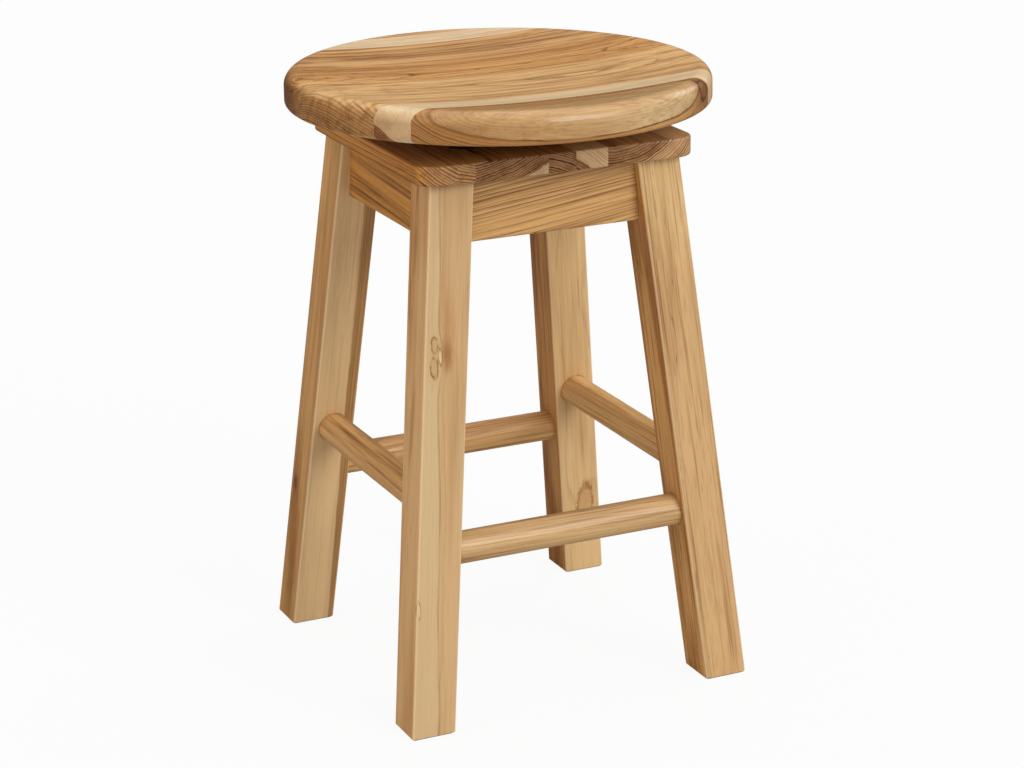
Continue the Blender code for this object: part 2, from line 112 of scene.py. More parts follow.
def grid_object(name: str, points: np.ndarray, ring: bool = False, capped: bool = True) -> bpy.types.Object:
    """Closed mesh of a grid whose every row is a closed loop.

    Face (i, j) joins points (i, j), (i, j+1), (i+1, j+1) and (i+1, j), with the columns
    taken round the loop; rows that shrink to a line or a point are merged.

    Args:
        name: name of the object and its mesh.
        points: array of rows, columns and xyz.
        ring: whether the last row joins the first, as round a wheel.
        capped: whether the first and last rows are closed with a flat face.

    Returns:
        The object, linked to the scene, with its place in its mesh.
    """
    rows, columns, _ = points.shape
    index = np.arange(rows * columns).reshape(rows, columns)
    below = index if ring else index[:-1]
    above = np.roll(index, -1, axis=0) if ring else index[1:]
    quads = np.stack([below, np.roll(below, -1, 1), np.roll(above, -1, 1), above], axis=-1)
    faces = quads.reshape(-1, 4).tolist()
    if capped and not ring:
        faces += [index[0][::-1].tolist(), index[-1].tolist()]
    mesh = bpy.data.meshes.new(name)
    mesh.from_pydata(points.reshape(-1, 3).tolist(), [], faces)
    return finish_mesh(name, mesh)


def finish_mesh(name: str, mesh: bpy.types.Mesh) -> bpy.types.Object:
    """Merges doubled points, turns faces outwards, shades round forms smooth and links the object.

    Args:
        name: name of the object.
        mesh: mesh with its place in its points.

    Returns:
        The linked object.
    """
    form = bmesh.new()
    form.from_mesh(mesh)
    bmesh.ops.remove_doubles(form, verts=form.verts, dist=MERGE_DISTANCE)
    bmesh.ops.dissolve_degenerate(form, edges=form.edges, dist=MERGE_DISTANCE)
    bmesh.ops.recalc_face_normals(form, faces=form.faces)
    form.to_mesh(mesh)
    form.free()
    mesh.shade_smooth()
    mesh.set_sharp_from_angle(angle=SHARP_ANGLE)
    obj = bpy.data.objects.new(name, mesh)
    bpy.context.scene.collection.objects.link(obj)
    return obj


def cut(piece: bpy.types.Object, cutters: list[bpy.types.Object]) -> None:
    """Takes the cutters' solids out of a piece and removes the cutters.

    Args:
        piece: object to cut.
        cutters: closed solids to take away.
    """
    for cutter in cutters:
        modifier = piece.modifiers.new(cutter.name, "BOOLEAN")
        modifier.operation = "DIFFERENCE"
        modifier.solver = "EXACT"
        modifier.object = cutter
    graph = bpy.context.evaluated_depsgraph_get()
    mesh = bpy.data.meshes.new_from_object(piece.evaluated_get(graph))
    piece.modifiers.clear()
    piece.data = mesh
    mesh.name = piece.name
    mesh.set_sharp_from_angle(angle=SHARP_ANGLE)
    for cutter in cutters:
        bpy.data.objects.remove(cutter)


def turned(name: str, profile: np.ndarray, steps: int, place: Matrix) -> bpy.types.Object:
    """Turned piece: profile (r, z) carried round the Z axis, x = r cos a, y = r sin a.

    Args:
        name: name of the object.
        profile: array of radius and height, from one end on the axis to the other.
        steps: number of steps round the axis.
        place: matrix that takes the turned form to its place.

    Returns:
        The linked object.
    """
    angle = np.linspace(0, 2 * pi, steps, endpoint=False)
    radius, height = profile[:, :1], profile[:, 1:]
    points = np.stack([radius * np.cos(angle), radius * np.sin(angle), height + 0 * angle], axis=-1)
    return grid_object(name, placed(points, place), capped=False)


def placed(points: np.ndarray, place: Matrix) -> np.ndarray:
    """Points taken through a matrix."""
    matrix = np.array(place)
    return points @ matrix[:3, :3].T + matrix[:3, 3]


def arc(centre: tuple[float, float], radius: float, start: float, end: float, steps: int) -> np.ndarray:
    """Points of a circular arc, as centre + radius (cos a, sin a) for a from start to end."""
    angle = np.linspace(start, end, steps + 1)
    return np.stack([centre[0] + radius * np.cos(angle), centre[1] + radius * np.sin(angle)], axis=-1)


def rounded_loop(half_u: float, half_v: float, rounds: tuple[float, float, float, float],
                 steps: int = 6, hold: float = 0.0012) -> np.ndarray:
    """Closed outline of a rectangle with its own round at each corner.

    Corner k is an arc of 90 degrees about its centre, with one more point before and after it
    on the flats, so that the flats shade flat.

    Args:
        half_u: half of the width.
        half_v: half of the height.
        rounds: radii at the corners (+u +v), (-u +v), (-u -v), (+u -v).
        steps: steps of each arc.
        hold: distance of the extra points from the arc.

    Returns:
        Array of points, running anticlockwise.
    """
    signs = np.array([[1, 1], [-1, 1], [-1, -1], [1, -1]])
    quarter = np.arange(4)[:, None] * pi / 2
    angle = quarter + np.linspace(0, pi / 2, steps + 1)
    radius = np.array(rounds)[:, None, None]
    centre = signs[:, None, :] * (np.array([half_u, half_v]) - radius)
    bend = centre + radius * np.stack([np.cos(angle), np.sin(angle)], axis=-1)
    before = bend[:, :1] - hold * np.stack([-np.sin(quarter), np.cos(quarter)], axis=-1)
    after = bend[:, -1:] + hold * np.stack([-np.cos(quarter), -np.sin(quarter)], axis=-1)
    return np.concatenate([before, bend, after], axis=1).reshape(-1, 2)


# Node wiring


class Wiring:
    """Short calls that add nodes to one material and join them; every call returns a socket."""

    def __init__(self, name: str) -> None:
        """Makes the material with an empty Principled shader.

        Args:
            name: name of the material.
        """
        self.material = bpy.data.materials.new(name)
        self.material.use_nodes = True
        self.tree = self.material.node_tree
        self.shader = self.tree.nodes["Principled BSDF"]

    def add(self, kind: str, inputs: dict[int | str, object], output: int | str = 0, **settings: object) -> Socket:
        """Adds a node.

        Args:
            kind: type of the node.
            inputs: sockets to join, or plain values to set, by the node's inputs.
            output: output to give.
            settings: options of the node.

        Returns:
            The named output.
        """
        node = self.tree.nodes.new(kind)
        for key, value in settings.items():
            setattr(node, key, value)
        for key, value in inputs.items():
            self.feed(node.inputs[key], value)
        return node.outputs[output]

    def feed(self, socket: Socket, value: object) -> None:
        """Joins a socket to another one, or writes a plain value into it.

        Args:
            socket: input to feed.
            value: socket, number, vector, or colour without its alpha.
        """
        if isinstance(value, bpy.types.NodeSocket):
            self.tree.links.new(value, socket)
        elif socket.type == "RGBA":
            socket.default_value = (*value, 1.0)
        else:
            socket.default_value = value

    def math(self, operation: str, *terms: object, clamp: bool = False) -> Socket:
        """One arithmetic step."""
        return self.add("ShaderNodeMath", dict(enumerate(terms)), operation=operation, use_clamp=clamp)

    def vector(self, operation: str, *terms: object, output: int = 0) -> Socket:
        """One step of vector arithmetic."""
        return self.add("ShaderNodeVectorMath", dict(enumerate(terms)), output, operation=operation)

    def axes(self, vector: Socket) -> tuple[Socket, Socket, Socket]:
        """The x, y and z of a vector."""
        return tuple(self.add("ShaderNodeSeparateXYZ", {0: vector}).node.outputs)

    def place(self) -> Socket:
        """Object coordinates: the place in the stool's frame."""
        return self.add("ShaderNodeTexCoord", {}, "Object")

    def facing(self) -> Socket:
        """Direction that the face looks in, in the stool's frame."""
        return self.add("ShaderNodeTexCoord", {}, "Normal")

    def frame(self, location: Triple, rotation: Triple, scale: Triple = (1, 1, 1)) -> Socket:
        """Object coordinates seen from a frame with that place, turn and unit lengths."""
        inputs = {"Vector": self.place(), "Location": location, "Rotation": rotation, "Scale": scale}
        return self.add("ShaderNodeMapping", inputs, vector_type="TEXTURE")

    def distance(self, place: Triple, radii: Triple, turn: Triple = NO_TURN) -> Socket:
        """Distance from an ellipsoid's middle in units of its radii: 1 on its surface."""
        return self.vector("LENGTH", self.frame(place, turn, radii), output=1)

    def noise(self, vector: Socket, detail: float = 2.0, roughness: float = 0.5, coloured: bool = False) -> Socket:
        """Smooth noise with features of about one unit, from 0 to 1."""
        inputs = {"Vector": vector, "Scale": 1.0, "Detail": detail, "Roughness": roughness}
        return self.add("ShaderNodeTexNoise", inputs, 1 if coloured else 0)

    def chance(self, value: Socket) -> Socket:
        """A random number from 0 to 1 that belongs to a value."""
        return self.add("ShaderNodeTexWhiteNoise", {"W": value}, "Value", noise_dimensions="1D")

    def swing(self, share: Socket, reach: float) -> Socket:
        """A share from 0 to 1 turned into a swing about zero, that long from end to end."""
        return self.math("MULTIPLY", self.math("SUBTRACT", share, 0.5), reach)

    def ease(self, value: object, low: object, high: object, start: float = 0.0, end: float = 1.0) -> Socket:
        """Smooth step from start to end while the value goes from low to high."""
        return self.add("ShaderNodeMapRange", {0: value, 1: low, 2: high, 3: start, 4: end},
                        interpolation_type="SMOOTHSTEP")

    def mix(self, factor: object, first: object, second: object, blend: str = "MIX") -> Socket:
        """Mix of two colours."""
        return self.add("ShaderNodeMix", {0: factor, 6: first, 7: second}, 2, data_type="RGBA", blend_type=blend)

    def bump(self, height: Socket, strength: float) -> Socket:
        """Normal of a surface with that height in metres."""
        return self.add("ShaderNodeBump", {"Strength": strength, "Distance": 1.0, "Height": height})

    def set(self, **values: object) -> None:
        """Writes or joins inputs of the shader, with _ for a space in their names."""
        for key, value in values.items():
            self.feed(self.shader.inputs[key.replace("_", " ")], value)


# Finishes


@dataclass(frozen=True)
class Weave:
    """Noise drawn out with the grain: features per metre along it and across it, and how fine it goes."""

    along: float
    across: float
    detail: float = 2.0
    roughness: float = 0.5


WANDER, WAVE, RIPPLE = Weave(1.7, 9.0, 1.5), Weave(7.0, 42.0, 1.5), Weave(22.0, 380.0, 1.5)
STREAKS, HAIRS = Weave(2.0, 110.0, 4.0, 0.65), Weave(6.0, 420.0, 2.0, 0.6)
CLOUDS, FIBRES = Weave(5.0, 38.0), Weave(20.0, 700.0, 2.0, 0.6)
PORES = Weave(45.0, 560.0, 1.0)
HEART_EDGE, BORDER_BREAKS = Weave(12.0, 160.0, 3.0), Weave(18.0, 5.0)
PATCH_EDGE = Weave(60.0, 330.0)
KNOT_EDGE, KNOT_BREAKS = Weave(260.0, 420.0), Weave(90.0, 190.0, 1.0)

# Figure of the wood that all logs share
SEED_STEP: Triple = (3.7, 1.3, 2.1)  # way through the noise from one seed to the next
RING_DRIFT, RING_UNEVEN = 0.28, 2.2  # how soon rings crowd or thin out, and by how many rings
RING_NUMBERS = 17.0  # ring numbers between one seed and the next
RING_FADE, RING_START, RING_NEXT = 2.6, 0.22, 0.95  # fading of a dark band, its start, and the next one's
END_BAND, END_BAND_STRENGTH = (0.15, 0.62), (0.45, 1.1)  # end of the dark band on end grain, and its strength
END_HAIRS, END_PORES = 0.15, 0.4  # what is left of hair lines and pores on end grain
STREAK_TONE, HAIR_TONE, CLOUD_TONE, FIBRE_TONE = 0.55, 0.45, 1.3, 0.50
RING_TONE = 0.85
PORES_IN_BAND, PORES_ANYWHERE = 0.85, 0.12
HEART_RAG, HEART_STEP, BORDER_WIDTH = 0.0020, 0.0007, 0.0013
EDGE_RAG = 0.6  # ragged edge of stains and knots, in radii
PARTING_REACH, PARTING_PUSH = 3.0, 0.004  # rings part round a knot as far as this, in radii, and by so much
KNOT_RIM, KNOT_RIM_WIDTH = 0.92, 0.30
PORE_DEPTH, FIBRE_RISE, RING_DEPTH = -0.00010, 0.000025, -0.00003
PORE_ROUGH, FIBRE_ROUGH = 0.22, 0.14
# Brown of the pores, and the pale colour of the highlight painted along upright arrises.
PORE_BROWN, ARRIS_HIGHLIGHT = paint(96, 60, 30), paint(240, 214, 172)


class LogWiring(Wiring):
    """Wiring of one log's wood: places in the log, with x along the grain, and noise drawn out with it."""

    def __init__(self, name: str, pith: Triple, turn: Matrix, seed: float) -> None:
        """Sets up the log's frame and the part of the noise that is its own.

        Args:
            name: name of the material.
            pith: a point of the log's middle.
            turn: rotation from the log's frame.
            seed: number of the log.
        """
        super().__init__(name)
        self.log = self.frame(pith, tuple(turn.to_euler("XYZ")))
        self.seeded = self.vector("ADD", self.log, tuple(seed * step for step in SEED_STEP))

    def woven(self, weave: Weave, coloured: bool = False) -> Socket:
        """Noise of a weave in this log."""
        place = self.vector("MULTIPLY", self.seeded, (weave.along, weave.across, weave.across))
        return self.noise(place, weave.detail, weave.roughness, coloured)

    def ragged(self, value: Socket, weave: Weave, reach: float) -> Socket:
        """A value that swings with a weave, so that an edge drawn at it is ragged."""
        return self.math("ADD", value, self.swing(self.woven(weave), reach))


@dataclass(frozen=True)
class StainOrPaintedLight:
    """Soft darker or lighter patch, an ellipsoid with ragged edges: mostly stains in the wood, some painted light, a
    lifted shadow or a sheen.
    """

    place: Triple
    radii: Triple
    colour: Triple
    strength: float = 0.5
    soft: float = 0.6
    turn: Triple = NO_TURN

    def draw(self, w: LogWiring, colour: Socket) -> Socket:
        """Multiplies the wood's colour by the patch's, fully inside and fading to nothing at its surface."""
        off = w.ragged(w.distance(self.place, self.radii, self.turn), PATCH_EDGE, EDGE_RAG)
        return w.mix(w.ease(off, 1.0 - self.soft, 1.0, self.strength, 0.0), colour, self.colour, "MULTIPLY")


@dataclass(frozen=True)
class Knot:
    """Knot: a dark outline round a brown core, with grain that parts round it."""

    place: Triple
    radii: Triple
    core: Triple = paint(172, 124, 72)
    line: Triple = paint(106, 68, 34)
    halo: float = 0.25
    whole: float = 0.6

    def push(self, w: LogWiring) -> Socket:
        """Outward push of the rings round the knot, a bell over the distance from it."""
        off = w.distance(self.place, tuple(PARTING_REACH * r for r in self.radii))
        return w.ease(off, 0.0, 1.0, PARTING_PUSH, 0.0)

    def draw(self, w: LogWiring, colour: Socket) -> Socket:
        """Colours the knot: soft halo, brown core and a thin dark outline, broken in places.

        Args:
            w: wiring of the log.
            colour: colour of the wood.

        Returns:
            Colour with the knot.
        """
        off = w.ragged(w.distance(self.place, self.radii), KNOT_EDGE, EDGE_RAG)
        colour = w.mix(w.ease(off, 0.8, 2.6, self.halo, 0.0), colour, self.core)
        colour = w.mix(w.ease(off, 0.7, 1.0, 0.5, 0.0), colour, self.core)
        from_rim = w.math("ABSOLUTE", w.math("SUBTRACT", off, KNOT_RIM))
        whole = w.ease(w.woven(KNOT_BREAKS), 0.35, 0.6, self.whole, 1.0)
        rim = w.math("MULTIPLY", w.ease(from_rim, 0.0, KNOT_RIM_WIDTH, 1.0, 0.0), whole)
        return w.mix(rim, colour, self.line)


@dataclass(frozen=True)
class Hickory:
    """Clear-finished hickory cut out of a log of its own.

    In the log's frame x runs with the grain and r is the distance from the pith, bent by
    noise: ring number n = (r + lean y - taper x) / ring, so that a lean sets the rings off
    centre. The start of each ring is a band of open, darker pores that fades outwards.
    Beyond the heart radius the wood is pale sapwood. Fields that start with end belong to
    faces cut across the grain; the left-face tint and its streak strength paint shade on faces
    that look to the left, and arris is a painted highlight on upright edges.
    """

    name: str
    pith: Triple
    grain: Triple = (1.0, 0.0, 0.0)
    ring: float = 0.0024
    taper: float = 0.0
    lean: float = 0.0
    wander: float = 0.010
    wave: float = 0.0022
    ripple: float = 0.0006
    heart: float = 9.0
    border: float = 0.0
    border_line: Triple = paint(134, 88, 46)
    contrast: float = 1.0
    faint: float = 0.12
    fade: float = 0.45
    streaks: float = 1.0
    hairs: float = 1.0
    clouds: float = 0.5
    fleck: float = 0.5
    polish: float = 0.30
    seed: float = 0.0
    light: Triple = paint(216, 170, 114)
    dark: Triple = paint(147, 93, 44)
    line: Triple = paint(106, 66, 34)
    sap: Triple = paint(218, 189, 146)
    sap_contrast: float = 0.38
    sap_tone: float = 0.42
    end_shade: float = 0.25
    end_colour: Triple = (0.25, 0.11, 0.01)
    end_sap: float = 0.45
    end_rings: float = 0.75
    # Strength of the highlight painted along upright arrises.
    arris: float = 0.0
    # Tint of faces that look to the left, and how much stronger their streaks are: painted shade.
    left_shade: Triple = (1.0, 1.0, 1.0)
    left_shade_streaks: float = 1.0
    stains_and_painted_light: tuple[StainOrPaintedLight, ...] = ()
    knots: tuple[Knot, ...] = ()

    def moved(self, place: Matrix, turn: float = 0.0) -> "Hickory":
        """The log in the stool's frame.

        Args:
            place: matrix from the frame that the log is given in.
            turn: turn of that frame about the vertical, for the stains and painted-light patches.

        Returns:
            The log with its pith, grain, stains, painted-light patches and knots moved.
        """
        def spot(point: Triple) -> Triple:
            """A point in the stool's frame."""
            return tuple(place @ Vector(point))

        return replace(self, pith=spot(self.pith), grain=tuple(place.to_3x3() @ Vector(self.grain)),
                       stains_and_painted_light=tuple(replace(s, place=spot(s.place), turn=(0.0, 0.0, turn)) for s in self.stains_and_painted_light),
                       knots=tuple(replace(k, place=spot(k.place)) for k in self.knots))

    def log_turn(self) -> Matrix:
        """Rotation from the log's frame.

        Returns:
            Matrix that takes the log's x axis to the grain, with its y axis kept level.
        """
        along = Vector(self.grain).normalized()
        side = Vector((0, 0, 1)).cross(along)
        side = side.normalized() if side.length > 0.3 else Vector((0, 1, 0))
        side = (side - along * side.dot(along)).normalized()
        return Matrix((along, side, along.cross(side))).transposed()

    def material(self) -> bpy.types.Material:
        """Builds the wood's nodes.

        Returns:
            The material, with colour, roughness and bump from the log.
        """
        turn = self.log_turn()
        w = LogWiring(self.name, self.pith, turn, self.seed)
        across = w.math("ABSOLUTE", w.vector("DOT_PRODUCT", w.facing(), tuple(turn.col[0]), output=1))
        open_end = w.ease(across, 0.12, 0.6)
        # Share of a face that looks to the left, which takes the painted shade.
        left_shade = w.ease(w.axes(w.facing())[0], -0.9, -0.5, 1.0, 0.0)
        radius = self.ring_radius(w)
        band = self.ring_band(w, radius, open_end)
        fibre = w.woven(FIBRES)
        pores = self.open_pores(w, band, open_end)
        edge = w.ragged(radius, HEART_EDGE, HEART_RAG)
        sapwood = w.ease(edge, self.heart - HEART_STEP, self.heart + HEART_STEP)
        colour = self.plain_colour(w, self.tone(w, fibre, open_end, left_shade), band, sapwood)
        if self.border:
            colour = self.draw_border(w, colour, edge)
        for mark in (*self.stains_and_painted_light, *self.knots):
            colour = mark.draw(w, colour)
        colour = w.mix(w.math("MULTIPLY", pores, self.fleck), colour, PORE_BROWN)
        drunk = w.math("MULTIPLY", w.ease(across, 0.45, 0.95, 0.0, self.end_shade),
                       w.ease(sapwood, 0.0, 1.0, 1.0, self.end_sap))
        colour = w.mix(drunk, colour, self.end_colour, "MULTIPLY")
        # Painted shade: faces that look to the left take a warmer, more saturated tint.
        colour = w.mix(left_shade, colour, self.left_shade, "MULTIPLY")
        # Painted highlight along the upright arrises.
        if self.arris:
            colour = self.paint_arris_highlight(w, colour)
        height = w.math("ADD", w.math("MULTIPLY", pores, PORE_DEPTH), w.math("MULTIPLY", fibre, FIBRE_RISE))
        height = w.math("ADD", height, w.math("MULTIPLY", band, RING_DEPTH))
        rough = w.math("ADD", w.math("MULTIPLY", pores, PORE_ROUGH), w.math("MULTIPLY", fibre, FIBRE_ROUGH))
        w.set(Base_Color=colour, Roughness=w.math("ADD", rough, self.polish), Normal=w.bump(height, 0.5),
              Specular_IOR_Level=0.4)
        return w.material

    def ring_radius(self, w: LogWiring) -> Socket:
        """Distance from the pith that the rings follow, r + lean y - taper x, pushed out round the knots.

        The place in the log is bent first, across the grain, by a slow wander, by waves and by
        a ripple.

        Args:
            w: wiring of the log.

        Returns:
            The distance in metres.
        """
        bent = w.log
        for reach, weave in ((self.wander, WANDER), (self.wave, WAVE), (self.ripple, RIPPLE)):
            push = w.vector("SUBTRACT", w.woven(weave, coloured=True), (0.5, 0.5, 0.5))
            bent = w.vector("ADD", bent, w.vector("MULTIPLY", push, (0.0, 2 * reach, 2 * reach)))
        x, y, z = w.axes(bent)
        radius = w.math("SQRT", w.math("ADD", w.math("POWER", y, 2.0), w.math("POWER", z, 2.0)))
        radius = w.math("SUBTRACT", radius, w.math("MULTIPLY", x, self.taper))
        radius = w.math("ADD", radius, w.math("MULTIPLY", y, self.lean))
        for knot in self.knots:
            radius = w.math("ADD", radius, knot.push(w))
        return radius

    def ring_band(self, w: LogWiring, radius: Socket, open_end: Socket) -> Socket:
        """Dark bands of the rings, each of a strength of its own.

        With s the share of the way through a ring, a band is the larger of fade (1 - s)^2.6
        and a short start; on end grain it is also a broad, plain one.

        Args:
            w: wiring of the log.
            radius: distance that the rings follow.
            open_end: share of end grain.

        Returns:
            Darkness of the band, from 0 to about 1.
        """
        drift = w.math("MULTIPLY", radius, RING_DRIFT / self.ring)
        uneven = w.swing(w.noise(w.add("ShaderNodeCombineXYZ", {0: drift, 1: self.seed}), 1.0), RING_UNEVEN)
        count = w.math("ADD", w.math("DIVIDE", radius, self.ring), uneven)
        chance = w.chance(w.math("ADD", w.math("FLOOR", count), self.seed * RING_NUMBERS))
        share = w.math("FRACT", count)
        fading = w.math("MULTIPLY", w.math("POWER", w.math("SUBTRACT", 1.0, share), RING_FADE), self.fade)
        start = w.math("MAXIMUM", w.ease(share, 0.0, RING_START, 1.0, 0.0), w.ease(share, RING_NEXT, 1.0))
        band = w.math("MULTIPLY", w.math("MAXIMUM", fading, start), w.ease(chance, 0.0, 1.0, self.faint, 1.0))
        end_band = w.math("MULTIPLY", w.ease(share, *END_BAND, self.end_rings, 0.0),
                          w.ease(chance, 0.0, 1.0, *END_BAND_STRENGTH))
        return w.math("MAXIMUM", band, w.math("MULTIPLY", end_band, open_end))

    def open_pores(self, w: LogWiring, band: Socket, open_end: Socket) -> Socket:
        """Open pores, short dashes along the grain that crowd in the rings' dark bands.

        Args:
            w: wiring of the log.
            band: darkness of the rings' bands.
            open_end: share of end grain.

        Returns:
            Share of pores.
        """
        crowd = w.math("ADD", w.math("MULTIPLY", band, PORES_IN_BAND), PORES_ANYWHERE)
        pores = w.math("MULTIPLY", w.ease(w.woven(PORES), 0.55, 0.67), crowd)
        return w.math("MULTIPLY", pores, w.ease(open_end, 0.0, 1.0, 1.0, END_PORES))

    def tone(self, w: LogWiring, fibre: Socket, open_end: Socket, left_shade: Socket) -> Socket:
        """Tone of the wood between the rings: streaks, hair lines, clouds and fibres added up.

        Args:
            w: wiring of the log.
            fibre: noise of the fibres.
            open_end: share of end grain.
            left_shade: share of a left face, where the tone is strengthened as painted shade.

        Returns:
            Tone from 0, light, to 1, dark.
        """
        hair = w.math("MULTIPLY", w.ease(w.woven(HAIRS), 0.50, 0.68), w.ease(open_end, 0.0, 1.0, 1.0, END_HAIRS))
        tone = w.math("MULTIPLY", w.ease(w.woven(STREAKS), 0.38, 0.68), STREAK_TONE * self.streaks)
        tone = w.math("ADD", tone, w.math("MULTIPLY", hair, HAIR_TONE * self.hairs))
        tone = w.math("ADD", tone, w.swing(w.woven(CLOUDS), CLOUD_TONE * self.clouds))
        tone = w.math("ADD", tone, w.swing(fibre, FIBRE_TONE), clamp=True)
        # On faces that look to the left the tone is strengthened, as painted shade.
        return w.math("MULTIPLY", tone, w.ease(left_shade, 0.0, 1.0, 1.0, self.left_shade_streaks), clamp=True)

    def plain_colour(self, w: LogWiring, tone: Socket, band: Socket, sapwood: Socket) -> Socket:
        """Colour of heartwood and sapwood with their rings.

        Args:
            w: wiring of the log.
            tone: tone between the rings.
            band: darkness of the rings' bands.
            sapwood: share of sapwood.

        Returns:
            The colour.
        """
        heartwood = w.mix(tone, self.light, self.dark)
        heartwood = w.mix(w.math("MULTIPLY", band, RING_TONE * self.contrast, clamp=True), heartwood, self.line)
        pale = w.mix(w.math("MULTIPLY", tone, self.sap_tone), self.sap, self.dark)
        pale = w.mix(w.math("MULTIPLY", band, self.sap_contrast * self.contrast, clamp=True), pale, self.line)
        return w.mix(sapwood, heartwood, pale)

    def draw_border(self, w: LogWiring, colour: Socket, edge: Socket) -> Socket:
        """Thin dark line along the border of heartwood and sapwood, stronger and weaker along it.

        Args:
            w: wiring of the log.
            colour: colour of the wood.
            edge: ragged distance from the pith.

        Returns:
            Colour with the line.
        """
        off = w.math("ABSOLUTE", w.math("SUBTRACT", edge, self.heart))
        along = w.ease(w.woven(BORDER_BREAKS), 0.35, 0.6, 0.35, 1.0)
        line = w.math("MULTIPLY", w.ease(off, 0.0, BORDER_WIDTH, 1.0, 0.0), along)
        return w.mix(w.math("MULTIPLY", line, self.border), colour, self.border_line)

    def paint_arris_highlight(self, w: LogWiring, colour: Socket) -> Socket:
        """Paints a highlight on the upright arrises, where the face turns from x to y.

        Args:
            w: wiring of the log.
            colour: colour of the wood.

        Returns:
            Colour with the painted highlight.
        """
        x, y, _ = w.axes(w.vector("ABSOLUTE", w.facing()))
        corner = w.ease(w.math("MINIMUM", x, y), 0.2, 0.6, 0.0, self.arris)
        return w.mix(corner, colour, ARRIS_HIGHLIGHT)


METAL_SPECKLE: Triple = (900.0, 900.0, 900.0)
METAL_CLOUD: Triple = (45.0, 45.0, 45.0)
METAL_GRAIN_RISE = 0.00003


@dataclass(frozen=True)
class Steel:
    """Metal finish: base colour with fine speckled variation."""

    name: str
    colour: Triple
    metallic: float
    roughness: float
    speck: float

    def material(self) -> bpy.types.Material:
        """Builds the metal's nodes: tone, roughness and bump from speckle and slow clouds.

        Returns:
            The material.
        """
        w = Wiring(self.name)
        speckle = w.noise(w.vector("MULTIPLY", w.place(), METAL_SPECKLE), 2.0)
        cloud = w.noise(w.vector("MULTIPLY", w.place(), METAL_CLOUD), 3.0)
        tone = w.math("ADD", w.math("MULTIPLY", speckle, 0.6), w.math("MULTIPLY", cloud, 0.4), clamp=True)
        low = tuple(c * (1 - self.speck) for c in self.colour)
        high = tuple(min(1.0, c * (1 + self.speck)) for c in self.colour)
        rough = w.ease(tone, 0.2, 0.8, self.roughness - 0.08, self.roughness + 0.10)
        w.set(Base_Color=w.mix(tone, low, high), Roughness=rough, Metallic=self.metallic,
              Normal=w.bump(w.math("MULTIPLY", speckle, METAL_GRAIN_RISE), 0.4))
        return w.material


BLACK_STEEL = Steel("black_swivel_steel", paint(34, 33, 33), 0.35, 0.42, 0.35)
BALL_STEEL = Steel("bearing_ball_steel", paint(196, 198, 202), 1.0, 0.20, 0.06)
CAGE_STEEL = Steel("ball_cage_steel", paint(150, 152, 158), 1.0, 0.34, 0.12)
ZINC = Steel("zinc_screw_steel", paint(190, 186, 172), 1.0, 0.34, 0.14)


# Pieces


def seat_piece(piece: bpy.types.Object, node: str, body: Body, finish: bpy.types.Material) -> None:
    """Gives a piece its finish and sets it in place of a node of the frame.

    Args:
        piece: finished object.
        node: node of the frame that it stands for.
        body: body that it rides on.
        finish: material.
    """
    piece.data.materials.clear()
    piece.data.materials.append(finish)
    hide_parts(node)
    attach(piece, body.value)
    LOG.info("%s rides on %s", piece.name, body.value)


@dataclass(frozen=True)
class Stave:
    """One stave of a glued-up panel: its limits across the panel and the log it is cut from."""

    name: str
    low: float
    high: float
    wood: Hickory

    def sections(self, half: float, glue_line: float, rows: int) -> np.ndarray:
        """Places of the stave's sections across the panel, closer together towards a free edge.

        Args:
            half: half width of the panel.
            glue_line: distance kept from the joint with a neighbour.
            rows: number of sections.

        Returns:
            Column of places.
        """
        low = self.low + glue_line * (self.low > -half)
        high = self.high - glue_line * (self.high < half)
        share = np.linspace(0, 1, rows)
        if low <= -half:
            share = share ** 2
        elif high >= half:
            share = 1 - (1 - share) ** 2
        return (low + (high - low) * share)[:, None]


def both_halves(half: np.ndarray, sign: float) -> np.ndarray:
    """Columns of one half of a section and, back again, of the other half, times a sign."""
    return np.concatenate([half, sign * half[:, -2:0:-1]], axis=1)


